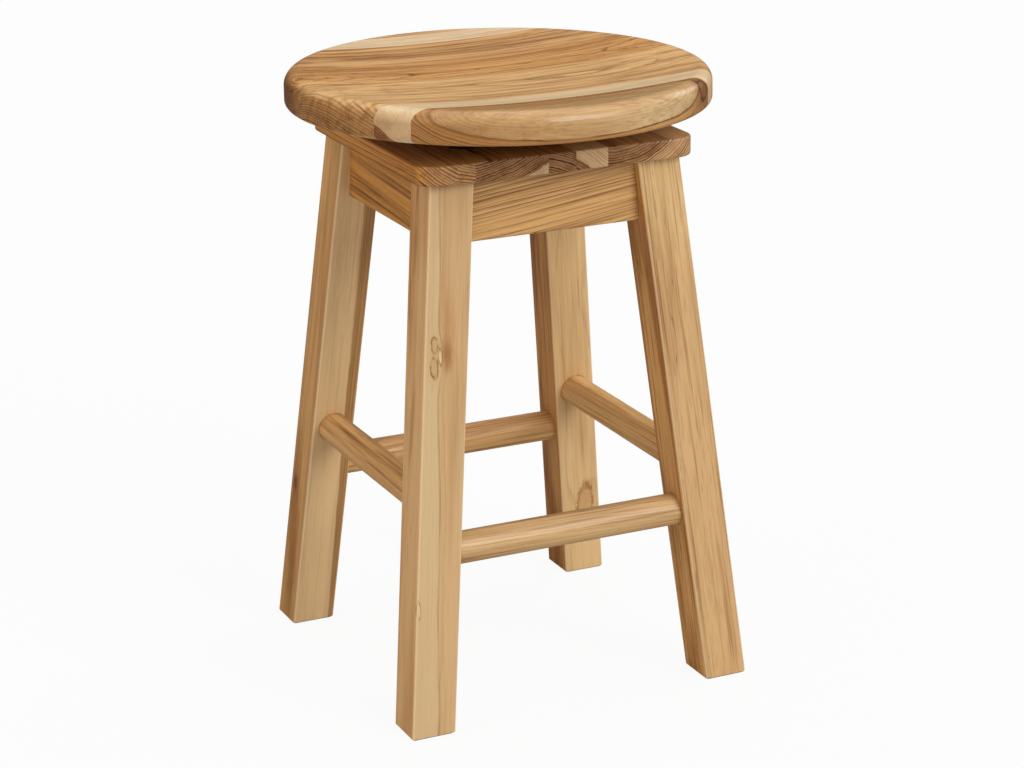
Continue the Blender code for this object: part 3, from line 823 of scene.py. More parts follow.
@dataclass
class Seat:
    """Round dished seat, glued up from seven staves that run from left to right."""

    radius: float = 0.210
    thickness: float = 0.032
    top_round: float = 0.0135
    bottom_round: float = 0.005
    dish: float = 0.010
    bottom: float = 0.578
    turn: float = radians(1.1)
    glue_line: float = 0.00004
    rows: int = 56

    def place(self) -> Matrix:
        """Matrix from the seat's own frame, with z = 0 at its underside, to the stool's frame."""
        return Matrix.Translation((0, 0, self.bottom)) @ Matrix.Rotation(self.turn, 4, "Z")

    def top_height(self, r: np.ndarray) -> np.ndarray:
        """Height of the upper face: a parabola up to the crest, then a quarter round.

        Args:
            r: distances from the middle.

        Returns:
            Heights above the underside.
        """
        crest = self.radius - self.top_round
        bowl = self.thickness - self.dish * (1 - np.minimum(r / crest, 1.0) ** 2)
        drop = np.clip(r - crest, 0.0, self.top_round)
        return bowl - self.top_round + np.sqrt(self.top_round ** 2 - drop ** 2)

    def bottom_height(self, r: np.ndarray) -> np.ndarray:
        """Height of the lower face at radius r: flat, then a quarter round up to the rim."""
        drop = np.clip(r - (self.radius - self.bottom_round), 0.0, self.bottom_round)
        return self.bottom_round - np.sqrt(self.bottom_round ** 2 - drop ** 2)

    def stave_points(self, t: np.ndarray) -> np.ndarray:
        """Grid of a stave: sections at y = t, each the seat's section cut along a chord.

        A point at radius r lies at x = sqrt(r^2 - t^2); where the chord has no such point, it
        closes on the middle at r = |t|. The columns run over the dish, the rim's rounds and
        the underside, then back along the other half.

        Args:
            t: column of the sections' places.

        Returns:
            Array of rows, columns and xyz in the stool's frame.
        """
        chord = np.abs(t)
        crest, flat = self.radius - self.top_round, self.radius - self.bottom_round
        over = np.concatenate([np.linspace(0, 0.97, 26), [0.99, 1.0]])
        under = np.array([1.0, 0.985, 0.5, 0.0])
        bend = np.linspace(0, pi / 2, 13)[1:]
        rise = np.linspace(pi / 2, 0, 8)[:-1]
        dish_x = np.sqrt(np.maximum(crest ** 2 - t ** 2, 0)) * over
        top_r = np.concatenate([np.sqrt(dish_x ** 2 + t ** 2),
                                np.maximum(crest + self.top_round * np.sin(bend), chord)], axis=1)
        under_x = np.sqrt(np.maximum(flat ** 2 - t ** 2, 0)) * under
        low_r = np.concatenate([np.maximum(flat + self.bottom_round * np.sin(rise), chord),
                                np.sqrt(under_x ** 2 + t ** 2)], axis=1)
        r = np.concatenate([top_r, low_r], axis=1)
        x = both_halves(np.sqrt(np.maximum(r ** 2 - t ** 2, 0)), -1.0)
        z = both_halves(np.concatenate([self.top_height(top_r), self.bottom_height(low_r)], axis=1), 1.0)
        return placed(np.stack([x, t + 0 * x, z], axis=-1), self.place())

    def build(self) -> None:
        """Builds the staves and dresses each in its own cut of wood."""
        for stave in SEAT_STAVES:
            sections = stave.sections(self.radius, self.glue_line, self.rows)
            piece = grid_object(stave.name + "_wood", self.stave_points(sections))
            seat_piece(piece, stave.name, Body.SEAT, stave.wood.moved(self.place(), self.turn).material())


# Staves of the seat from front to back, with their logs in the seat's own frame
SEAT_STAVES = (
    Stave("seat_stave_front_cap", -0.2100, -0.1395, Hickory(
        "seat_front_cap_hickory", (0.0, -0.215, 0.110), ring=0.0028, wander=0.003, heart=0.1050, border=1.0,
        border_line=paint(96, 58, 28), contrast=0.55, faint=0.0, streaks=0.6, hairs=0.9, polish=0.16, seed=1.0,
        light=paint(195, 156, 106), dark=paint(146, 99, 53), sap=paint(181, 130, 74), sap_contrast=2.2,
        end_shade=0.35, end_rings=0.6,
        stains_and_painted_light=(StainOrPaintedLight((-0.030, -0.156, 0.031), (0.170, 0.025, 0.014), (0.95, 0.77, 0.56), 0.6),
                StainOrPaintedLight((-0.120, -0.190, 0.014), (0.130, 0.060, 0.016), (0.86, 0.78, 0.70), 0.9, 1.0),
                # Partly painted highlight: this paler, whiter patch on the right of the rim stands for the sheen
                # along the crest, and partly pales the wood below it.
                StainOrPaintedLight((0.080, -0.190, 0.018), (0.110, 0.060, 0.026), (1.11, 1.27, 1.54), 1.0, 1.0),
                StainOrPaintedLight((0.075, -0.195, 0.005), (0.100, 0.060, 0.010), (1.17, 1.19, 1.19), 1.0, 1.0)),
        knots=(Knot((0.1460, -0.1515, 0.022), (0.0110, 0.0110, 0.0110), core=paint(126, 76, 40),
                    line=paint(84, 48, 24), halo=0.5),))),
    Stave("seat_stave_front_pale", -0.1395, -0.1080, Hickory(
        "seat_front_pale_hickory", (0.0, -0.060, -0.057), wander=0.002, wave=0.001, heart=0.0870, border=0.4,
        contrast=1.2, faint=0.5, fleck=0.25, seed=2.0, light=paint(180, 130, 78), line=paint(46, 24, 10),
        sap=paint(227, 200, 158), sap_contrast=0.05, end_shade=0.55, end_colour=(0.53, 0.27, 0.065), end_sap=1.0,
        end_rings=1.0)),
    Stave("seat_stave_front_field", -0.1080, 0.0110, Hickory(
        "seat_front_field_hickory", (0.0, 0.042, -0.085), ring=0.0020, taper=0.030, lean=0.58, wander=0.006,
        wave=0.0012, ripple=0.0003, contrast=0.85, faint=0.0, seed=3.0, light=paint(228, 184, 126), end_shade=0.70,
        end_colour=(0.457, 0.286, 0.09), end_rings=1.0,
        stains_and_painted_light=(StainOrPaintedLight((-0.165, 0.0110, 0.035), (0.085, 0.010, 0.060), (0.78, 0.70, 0.60), 0.9, 0.6),))),
    Stave("seat_stave_middle_field", 0.0110, 0.0870, Hickory(
        "seat_middle_field_hickory", (0.0, 0.040, 0.078), contrast=1.2, hairs=1.2, seed=4.0,
        light=paint(218, 164, 102), end_shade=0.75,
        stains_and_painted_light=(StainOrPaintedLight((-0.165, 0.0110, 0.035), (0.090, 0.016, 0.060), (1.50, 1.75, 2.20), 1.0, 0.6),))),
    Stave("seat_stave_rear_field", 0.0870, 0.1556, Hickory(
        "seat_rear_field_hickory", (0.0, 0.205, -0.060), ring=0.0040, contrast=1.2, faint=0.0, streaks=1.5, seed=5.0,
        end_shade=0.7)),
    Stave("seat_stave_rear_pale", 0.1556, 0.1871, Hickory(
        "seat_rear_pale_hickory", (0.0, 0.100, -0.080), heart=0.02, contrast=0.6, seed=6.0,
        sap=paint(226, 200, 162), sap_contrast=0.15)),
    Stave("seat_stave_rear_cap", 0.1871, 0.2100, Hickory(
        "seat_rear_cap_hickory", (0.0, 0.140, -0.060), ring=0.0026, seed=7.0)),
)


@dataclass
class BaseBoard:
    """Square board under the swivel, glued up from five staves that run from front to back."""

    half: float = 0.145
    low: float = 0.535
    thickness: float = 0.019
    corner: float = 0.0215
    edge: float = 0.002
    glue_line: float = 0.00004
    rows: int = 44
    hole_x: float = 0.09675
    hole_y: float = 0.02686
    hole_radius: float = 0.005
    drill_over: float = 0.01

    def half_length(self, t: np.ndarray, inset: np.ndarray) -> np.ndarray:
        """Half length of the round-cornered square, set in by an inset: flat, then its corner's circle.

        Args:
            t: places across the board.
            inset: distances from the outline.

        Returns:
            Half lengths at those places.
        """
        reach = np.clip(np.abs(t) - (self.half - self.corner), 0.0, None)
        radius = self.corner - inset
        return self.half - self.corner + np.sqrt(np.maximum(radius ** 2 - reach ** 2, 0.0))

    def stave_points(self, t: np.ndarray) -> np.ndarray:
        """Grid of a stave: sections at x = t, each a rounded rectangle of the board's length there.

        A column has an inset d from the outline and the height of the edge round there,
        h/2 - e + sqrt(e^2 - (e - d)^2), above or below the middle; d stays within the board.

        Args:
            t: column of the sections' places.

        Returns:
            Array of rows, columns and xyz.
        """
        bend = self.edge * (1 - np.sin(np.linspace(0, pi / 2, 7)))
        flat = np.array([0.0, 0.5, 0.97, 0.99])
        inset = np.concatenate([np.full(len(flat), self.edge), bend])
        reach = np.concatenate([flat, np.ones(len(bend))])
        above = np.repeat([1.0, -1.0], len(inset))
        inset, reach = np.concatenate([inset, inset[::-1]]), np.concatenate([reach, reach[::-1]])
        held = np.minimum(inset, self.half - np.abs(t))
        rise = self.thickness / 2 - self.edge + np.sqrt(self.edge ** 2 - (self.edge - held) ** 2)
        y = both_halves(reach * self.half_length(t, held), -1.0)
        z = both_halves(self.low + self.thickness / 2 + above * rise, 1.0)
        return np.stack([t + 0 * y, y, z], axis=-1)

    def drill(self) -> bpy.types.Object:
        """Cutter of the access hole through which the seat's screws are driven from below, a plain cylinder.

        Returns:
            The cutter.
        """
        low, high = self.low - self.drill_over, self.low + self.thickness + self.drill_over
        profile = np.array([[0.0, low], [self.hole_radius, low], [self.hole_radius, high], [0.0, high]])
        return turned("access_hole", profile, 40, Matrix.Translation((self.hole_x, self.hole_y, 0)))

    def build(self) -> None:
        """Builds the staves, drills the access hole and dresses each stave."""
        for stave in BOARD_STAVES:
            sections = stave.sections(self.half, self.glue_line, self.rows)
            piece = grid_object(stave.name + "_wood", self.stave_points(sections))
            if stave.low < self.hole_x < stave.high:
                cut(piece, [self.drill()])
            seat_piece(piece, stave.name, Body.BASE, stave.wood.material())


# Staves of the base board from left to right, with their logs
# The boards' faces that look to the left take a warmer, more saturated tint: painted shade.
BOARD_PLAIN = Hickory(
    "board_hickory", (0.0, 0.0, 0.0), (0.0, 1.0, 0.0), wander=0.004, contrast=1.35, faint=0.35, fade=0.7,
    light=paint(203, 152, 94), dark=paint(136, 84, 39), line=paint(80, 47, 23), end_rings=1.0,
    left_shade=(1.30, 1.12, 0.64))
BOARD_STAVES = (
    Stave("board_stave_left", -0.1450, -0.0907, replace(
        BOARD_PLAIN, name="board_left_hickory", pith=(-0.085, 0.0, 0.600), ring=0.0028, contrast=1.0, seed=11.0,
        end_shade=0.20)),
    Stave("board_stave_second", -0.0907, -0.0152, replace(
        BOARD_PLAIN, name="board_second_hickory", pith=(-0.170, 0.0, 0.913), ring=0.0021, heart=0.3995, seed=12.0,
        sap=paint(230, 194, 146), end_shade=0.42)),
    Stave("board_stave_third", -0.0152, 0.0137, replace(
        BOARD_PLAIN, name="board_third_hickory", pith=(-0.045, 0.0, 0.440), seed=13.0, end_shade=0.45)),
    Stave("board_stave_fourth", 0.0137, 0.0473, replace(
        BOARD_PLAIN, name="board_fourth_hickory", pith=(-0.040, 0.0, 0.440), heart=0.1175, border=0.5, seed=14.0,
        sap=paint(226, 189, 139), sap_contrast=0.3, sap_tone=0.25, end_shade=0.40)),
    Stave("board_stave_right", 0.0473, 0.1450, replace(
        BOARD_PLAIN, name="board_right_hickory", pith=(0.055, 0.0, 0.620), ring=0.0028, heart=0.088, seed=15.0,
        sap=paint(216, 170, 118), sap_contrast=0.6, end_shade=0.42)),
)


@dataclass
class Legs:
    """Four square legs splayed both ways, bored for the stretchers and mortised for the aprons."""

    height: float = 0.5347
    half: float = 0.02285
    foot: float = 0.16145
    splay: float = 0.098131
    edge: float = 0.003
    chamfer: float = 0.0015

    def centre(self, z: float | np.ndarray) -> float | np.ndarray:
        """Distance of a leg's centre from the stool's middle at height z, along X and along Y."""
        return self.foot - self.splay * z

    def place(self, sx: int, sy: int) -> Matrix:
        """Matrix from a leg's own upright frame to the stool's: a shear that follows its middle line."""
        return Matrix(((1, 0, -sx * self.splay, sx * self.foot), (0, 1, -sy * self.splay, sy * self.foot),
                       (0, 0, 1, 0), (0, 0, 0, 1)))

    def points(self, sx: int, sy: int) -> np.ndarray:
        """Grid of a leg: a rounded square at each height, set in by d at the foot's chamfer.

        Args:
            sx: side of the stool along X, -1 or 1.
            sy: side along Y.

        Returns:
            Array of rows, columns and xyz.
        """
        z = np.concatenate([[0.0, self.chamfer, 2 * self.chamfer], np.linspace(0.01, self.height, 24)])
        inset = np.clip(1 - z / self.chamfer, 0, 1)[:, None, None] * self.chamfer
        outline = rounded_loop(self.half, self.half, (self.edge,) * 4)
        inward = np.clip(outline / (self.half - self.edge), -1, 1)
        loop = outline - inset * inward
        middle = np.stack([sx * self.centre(z), sy * self.centre(z)], axis=-1)[:, None, :]
        level = np.broadcast_to(z[:, None, None], (*loop.shape[:2], 1))
        return np.concatenate([loop + middle, level], axis=-1)

    def build(self, aprons: "Aprons", stretchers: "Stretchers") -> None:
        """Builds the legs, cuts their joints and dresses each in its own wood.

        Args:
            aprons: aprons whose tenons enter the legs.
            stretchers: stretchers whose ends enter the legs.
        """
        for corner, (sx, sy) in CORNERS.items():
            name = f"leg_{corner}"
            piece = grid_object(name + "_wood", self.points(sx, sy))
            for side in corner.split("_"):
                cut(piece, [aprons.mortise(side), stretchers.bore(side)])
            wood = LEG_WOODS[corner].moved(self.place(sx, sy))
            seat_piece(piece, name, Body.BASE, wood.material())


# Logs of the legs, each in its leg's own frame
# On faces that look to the left each leg takes a tint of its own and stronger streaks: painted shade.
LEG_PLAIN = Hickory(
    "leg_hickory", (0.0, 0.0, 0.0), (0.0, 0.0, 1.0), ring=0.0032, contrast=0.25, streaks=0.45, hairs=0.5, clouds=1.0,
    fleck=0.15, light=paint(208, 169, 119), dark=paint(164, 118, 68), line=paint(140, 96, 54),
    # arris: a painted highlight along the legs' upright arrises.
    sap=paint(216, 185, 139), sap_tone=0.45, arris=0.5, left_shade_streaks=2.8)
LEG_FIGURE_KNOT = Knot((-0.0130, -0.0228, 0.3830), (0.0034, 0.0060, 0.0092), core=paint(190, 149, 95),
                       line=paint(144, 99, 50), halo=0.3, whole=0.25)
LEG_WOODS: dict[str, Hickory] = {
    "back_left": replace(
        LEG_PLAIN, name="leg_back_left_hickory", pith=(0.070, 0.040, 0.0), taper=0.0142, wander=0.003, heart=0.0821,
        border=0.5, streaks=0.7, hairs=1.0, seed=21.0, light=paint(182, 136, 82), dark=paint(110, 72, 36),
        sap=paint(217, 182, 132), sap_tone=0.3, left_shade=(0.94, 0.76, 0.55),
        stains_and_painted_light=(StainOrPaintedLight((-0.0228, 0.004, 0.10), (0.020, 0.020, 0.24), (0.62, 0.50, 0.38), 1.0, 0.8),
                StainOrPaintedLight((-0.0228, -0.006, 0.40), (0.012, 0.005, 0.20), (0.80, 0.68, 0.56), 0.6),
                StainOrPaintedLight((0.0, 0.0, 0.47), (0.06, 0.06, 0.24), (1.22, 1.25, 1.30), 1.0, 1.0)),
        knots=(Knot((-0.0228, 0.010, 0.152), (0.0040, 0.0035, 0.0060), core=paint(128, 74, 38),
                    line=paint(96, 54, 26), halo=0.4),)),
    "front_left": replace(
        LEG_PLAIN, name="leg_front_left_hickory", pith=(0.050, 0.020, 0.0), taper=0.025, wander=0.003, wave=0.0032,
        heart=0.0620, border=0.4, streaks=0.3, seed=22.0, light=paint(202, 165, 117), sap=paint(204, 174, 129),
        left_shade=(1.23, 1.08, 0.93),
        stains_and_painted_light=(StainOrPaintedLight((0.0000, -0.0228, 0.372), (0.0100, 0.008, 0.026), (0.62, 0.46, 0.30), 0.85, 1.0),
                StainOrPaintedLight((0.0010, -0.0228, 0.400), (0.0110, 0.008, 0.130), (0.86, 0.76, 0.62), 0.8, 1.0),
                StainOrPaintedLight((0.0185, -0.0228, 0.270), (0.0120, 0.008, 0.450), (1.00, 1.07, 1.13), 0.9, 0.9),
                StainOrPaintedLight((-0.0228, 0.002, 0.30), (0.006, 0.005, 0.40), (0.74, 0.62, 0.48), 0.7)),
        knots=(LEG_FIGURE_KNOT,
               replace(LEG_FIGURE_KNOT, place=(-0.0125, -0.0228, 0.3620), radii=(0.0042, 0.006, 0.0112)),
               replace(LEG_FIGURE_KNOT, place=(-0.0066, -0.0228, 0.3715), radii=(0.0019, 0.004, 0.0092),
                       core=paint(238, 202, 154), halo=0.0),
               replace(LEG_FIGURE_KNOT, place=(-0.0208, -0.0228, 0.1290), radii=(0.0022, 0.005, 0.0095),
                       core=paint(226, 190, 142), line=paint(150, 102, 56), halo=0.0))),
    "front_right": replace(
        LEG_PLAIN, name="leg_front_right_hickory", pith=(0.004, 0.062, 0.0), contrast=0.4, hairs=1.3, clouds=1.3,
        fleck=1.0, seed=23.0, light=paint(205, 165, 114), dark=paint(156, 109, 61), left_shade=(1.20, 1.08, 0.81),
        # Painted light: a paler patch over the top of the leg, lifting the seat's shadow there.
        stains_and_painted_light=(StainOrPaintedLight((0.0, -0.0228, 0.51), (0.05, 0.04, 0.14), (1.25, 1.38, 1.43), 1.0, 1.0),)),
    "back_right": replace(
        LEG_PLAIN, name="leg_back_right_hickory", pith=(0.010, 0.058, 0.0), contrast=0.4, seed=24.0,
        light=paint(221, 185, 132), left_shade=(0.80, 0.59, 0.37),
        stains_and_painted_light=(StainOrPaintedLight((0.006, -0.0228, 0.088), (0.011, 0.008, 0.034), (0.86, 0.75, 0.60), 0.7, 0.8),),
        knots=(Knot((0.005, -0.0228, 0.080), (0.0095, 0.006, 0.030), core=paint(195, 148, 97),
                    line=paint(160, 112, 66), halo=0.1),)),
}


@dataclass
class Aprons:
    """Four aprons under the base board, tenoned into the legs."""

    legs: Legs = field(default_factory=Legs)
    top: float = 0.5347
    height: float = 0.0625
    thickness: float = 0.019
    middle: float = 0.114
    edge: float = 0.002
    arris: float = 0.0004
    tenon: float = 0.0095
    tenon_hold: float = 0.0006
    shoulder: float = 0.008
    tip: float = 0.10565
    gap: float = 0.0003

    def place(self, side: str) -> Matrix:
        """Matrix of an apron.

        Args:
            side: side of the stool.

        Returns:
            Matrix from the apron's own frame, with x along it and +y inwards, to the stool's frame.
        """
        angle = SIDES[side]
        spot = (self.middle * cos(angle), self.middle * sin(angle), self.top - self.height / 2)
        return Matrix.Translation(spot) @ Matrix.Rotation(angle + pi / 2, 4, "Z")

    def reach(self, z: np.ndarray) -> np.ndarray:
        """Half length of the apron at height z from its middle, up to the splayed legs."""
        return self.legs.centre(self.top - self.height / 2 + z) - self.legs.half - self.gap

    def points(self, side: str) -> np.ndarray:
        """Grid of an apron: tenon loops at the tips, board loops between the slanted shoulders.

        Args:
            side: side of the stool.

        Returns:
            Array of rows, columns and xyz.
        """
        board = rounded_loop(self.thickness / 2, self.height / 2, (self.arris, self.arris, self.edge, self.edge))
        tenon = rounded_loop(self.tenon / 2, self.height / 2 - self.shoulder, (self.arris,) * 4, hold=self.tenon_hold)
        share = np.concatenate([[-1.0, -0.995], np.linspace(-0.97, 0.97, 15), [0.995, 1.0]])[:, None]
        middle = share * self.reach(board[:, 1])
        shoulder = self.reach(tenon[:, 1])
        tip = np.full(len(tenon), self.tip)
        x = np.concatenate([[-tip, -shoulder], middle, [shoulder, tip]])
        loop = np.concatenate([[tenon] * 2, [board] * len(middle), [tenon] * 2])
        return placed(np.stack([x, loop[..., 0], loop[..., 1]], axis=-1), self.place(side))

    def mortise(self, side: str) -> bpy.types.Object:
        """Cutter of the mortises for one apron: its tenon bar with clearance all round.

        Args:
            side: side of the stool.

        Returns:
            The cutter.
        """
        half_height = self.height / 2 - self.shoulder + self.gap
        loop = rounded_loop(self.tenon / 2 + self.gap, half_height, (self.arris,) * 4)
        x = np.array([-1.0, 1.0])[:, None] * (self.tip + self.gap) + 0 * loop[:, 0]
        grid = np.stack([x, np.tile(loop[:, 0], (2, 1)), np.tile(loop[:, 1], (2, 1))], axis=-1)
        return grid_object(f"mortise_{side}", placed(grid, self.place(side)))

    def build(self) -> None:
        """Builds the aprons and dresses each in its own wood."""
        for side, wood in APRON_WOODS.items():
            name = f"apron_{side}"
            piece = grid_object(name + "_wood", self.points(side))
            seat_piece(piece, name, Body.BASE, wood.moved(self.place(side)).material())


# Logs of the aprons, each in its apron's own frame
APRON_WOODS: dict[str, Hickory] = {
    "front": Hickory(
        "apron_front_hickory", (0.0, 0.050, 0.095), (1.0, 0.0, 0.13), ring=0.0028, wander=0.016, wave=0.003,
        contrast=1.35, faint=0.0, hairs=1.3, seed=31.0, light=paint(214, 166, 105), dark=paint(136, 88, 40)),
    "right": Hickory("apron_right_hickory", (0.0, -0.040, 0.080), ring=0.0030, seed=34.0),
    "back": Hickory("apron_back_hickory", (0.0, 0.050, -0.070), ring=0.0030, seed=33.0),
    # Colours darker and more saturated than the front apron's: painted warm shade of this side.
    "left": Hickory(
        "apron_left_hickory", (0.0, 0.060, 0.090), (1.0, 0.0, -0.05), ring=0.0040, wander=0.020, wave=0.004,
        contrast=1.3, faint=0.0, streaks=1.5, seed=32.0, light=paint(217, 152, 70), dark=paint(110, 62, 20),
        line=paint(84, 46, 16)),
}


@dataclass
class Stretchers:
    """Round stretchers in blind bores: front and back low, the side pair one step higher."""

    legs: Legs = field(default_factory=Legs)
    radius: float = 0.016
    low: float = 0.175
    high: float = 0.221
    depth: float = 0.026
    chamfer: float = 0.0015
    gap: float = 0.0003
    steps: int = 64

    def level(self, side: str) -> float:
        """Height of a stretcher's axis."""
        return self.low if side in ("front", "back") else self.high

    def half_length(self, side: str) -> float:
        """Half length: up to the leg's inner face at that height, and into the bore."""
        return self.legs.centre(self.level(side)) - self.legs.half + self.depth

    def place(self, side: str) -> Matrix:
        """Matrix of a stretcher.

        Args:
            side: side of the stool.

        Returns:
            Matrix from the stretcher's own frame, with z along it, to the stool's frame.
        """
        angle, level = SIDES[side], self.level(side)
        out = self.legs.centre(level)
        spot = (out * cos(angle), out * sin(angle), level)
        return Matrix.Translation(spot) @ Matrix.Rotation(angle, 4, "Z") @ Matrix.Rotation(pi / 2, 4, "X")

    def bore(self, side: str) -> bpy.types.Object:
        """Cutter of the bores for one stretcher, a cylinder with clearance all round.

        Args:
            side: side of the stool.

        Returns:
            The cutter.
        """
        end, radius = self.half_length(side) + self.gap, self.radius + self.gap
        profile = np.array([[0.0, -end], [radius, -end], [radius, end], [0.0, end]])
        return turned(f"bore_{side}", profile, self.steps, self.place(side))

    def profile(self, side: str) -> np.ndarray:
        """Turning profile of a stretcher: a straight dowel with chamfered ends.

        Args:
            side: side of the stool.

        Returns:
            Array of radius and height along the dowel.
        """
        end = self.half_length(side)
        z = np.concatenate([[-end, -end, -end + self.chamfer, -end + 2 * self.chamfer],
                            np.linspace(-0.9 * end, 0.9 * end, 19),
                            [end - 2 * self.chamfer, end - self.chamfer, end, end]])
        r = np.full(len(z), self.radius)
        r[[1, -2]] -= self.chamfer
        r[[0, -1]] = 0.0
        return np.stack([r, z], axis=-1)

    def build(self) -> None:
        """Builds the stretchers and dresses each in its own wood."""
        for side, wood in STRETCHER_WOODS.items():
            name, place = f"stretcher_{side}", self.place(side)
            piece = turned(name + "_wood", self.profile(side), self.steps, place)
            seat_piece(piece, name, Body.BASE, wood.moved(place).material())


# Logs of the stretchers, each in its dowel's own frame
DOWEL_PLAIN = Hickory(
    "stretcher_hickory", (0.0, 0.0, 0.0), (0.0, 0.02, 1.0), ring=0.0030, wander=0.004, wave=0.0012, contrast=0.7,
    streaks=1.1, fleck=0.3, light=paint(216, 175, 122), dark=paint(150, 103, 56))
STRETCHER_WOODS: dict[str, Hickory] = {
    "front": replace(
        DOWEL_PLAIN, name="stretcher_front_hickory", pith=(0.008, -0.060, 0.0), contrast=0.5, streaks=0.6, seed=41.0,
        light=paint(211, 173, 121), dark=paint(140, 94, 49)),
    "right": replace(
        DOWEL_PLAIN, name="stretcher_right_hickory", pith=(-0.010, 0.062, 0.0), contrast=0.5, seed=44.0,
        light=paint(228, 183, 122), dark=paint(160, 109, 58)),
    "back": replace(
        DOWEL_PLAIN, name="stretcher_back_hickory", pith=(0.010, -0.060, 0.0), contrast=0.5, seed=43.0,
        light=paint(218, 171, 111), dark=paint(146, 96, 47)),
    "left": replace(
        DOWEL_PLAIN, name="stretcher_left_hickory", pith=(0.010, 0.065, 0.0), seed=42.0,
        light=paint(219, 170, 109), dark=paint(133, 83, 39)),
}


@dataclass
class Screws:
    """Pan-head wood screws with a cross recess, in the swivel's plates and the corner blocks."""

    radius: float = 0.0021
    head_radius: float = 0.0046
    head_height: float = 0.003
    head_round: float = 0.0012
    head_stretch: float = 1.25
    dome: float = 0.35
    tip: float = 0.004
    slot_half: float = 0.00055
    slot_reach: float = 0.0026
    slot_depth: float = 0.0016
    hole: float = 0.071
    plate: float = 0.0025
    bite: float = 0.012
    gap: float = 0.0003
    steps: int = 48

    def points(self, length: float) -> np.ndarray:
        """Grid of a screw: a turned profile whose top sinks by the slot depth inside the cross.

        A point lies in the cross where one of |x|, |y| is under the slot's half width and the
        other under its reach. The top falls with the square of the radius, by the dome's share.

        Args:
            length: length under the head.

        Returns:
            Array of rows, columns and xyz, with the underside of the head at z = 0.
        """
        top_r = np.array([0.0, 0.0003, 0.0005, 0.0006, 0.0009, 0.0013, 0.0018, 0.0022, 0.0025, 0.0027, 0.0030])
        top = self.head_height - self.dome * self.head_height * (top_r / self.head_radius) ** 2
        side = arc((self.head_radius - self.head_round, self.head_round), self.head_round, pi / 3, 0, 5)
        side[:, 1] *= self.head_stretch
        shank = np.array([[self.head_radius, 0.0], [self.radius, 0.0], [self.radius, self.tip - length],
                          [0.0, -length]])
        profile = np.concatenate([np.stack([top_r, top], axis=-1), side, shank])
        angle = np.linspace(0, 2 * pi, self.steps, endpoint=False)
        x, y = profile[:, :1] * np.cos(angle), profile[:, :1] * np.sin(angle)
        near, far = np.minimum(np.abs(x), np.abs(y)), np.maximum(np.abs(x), np.abs(y))
        on_top = profile[:, 1:] > 0.4 * self.head_height
        in_cross = (near < self.slot_half) & (far < self.slot_reach) & on_top
        return np.stack([x, y, profile[:, 1:] - self.slot_depth * in_cross], axis=-1)

    def build(self, seat: Seat, board: BaseBoard, blocks: "CornerBlocks") -> None:
        """Builds the screws of both plates and of the corner blocks.

        Args:
            seat: seat that the upper plate's screws enter.
            board: board that the lower plate's screws enter.
            blocks: corner blocks that the last screws pass through.
        """
        finish = ZINC.material()
        flip = Matrix.Rotation(pi, 4, "X")
        length, off = self.plate + self.bite, self.plate + 2 * self.gap
        board_top = board.low + board.thickness
        for corner, (sx, sy) in CORNERS.items():
            under = Matrix.Translation((sx * self.hole, sy * self.hole, -off))
            over = Matrix.Translation((sx * self.hole, sy * self.hole, board_top + off))
            rows = [(f"seat_screw_{corner}", length, seat.place() @ under @ flip, Body.SEAT),
                    (f"board_screw_{corner}", length, over, Body.BASE)]
            rows += [(f"block_screw_{corner}_{mark}", blocks.screw_length, Matrix.Translation(spot) @ flip, Body.BASE)
                     for mark, spot in blocks.screw_places(corner).items()]
            for name, long, place, body in rows:
                piece = grid_object(name + "_steel", placed(self.points(long), place), capped=False)
                seat_piece(piece, name, body, finish)


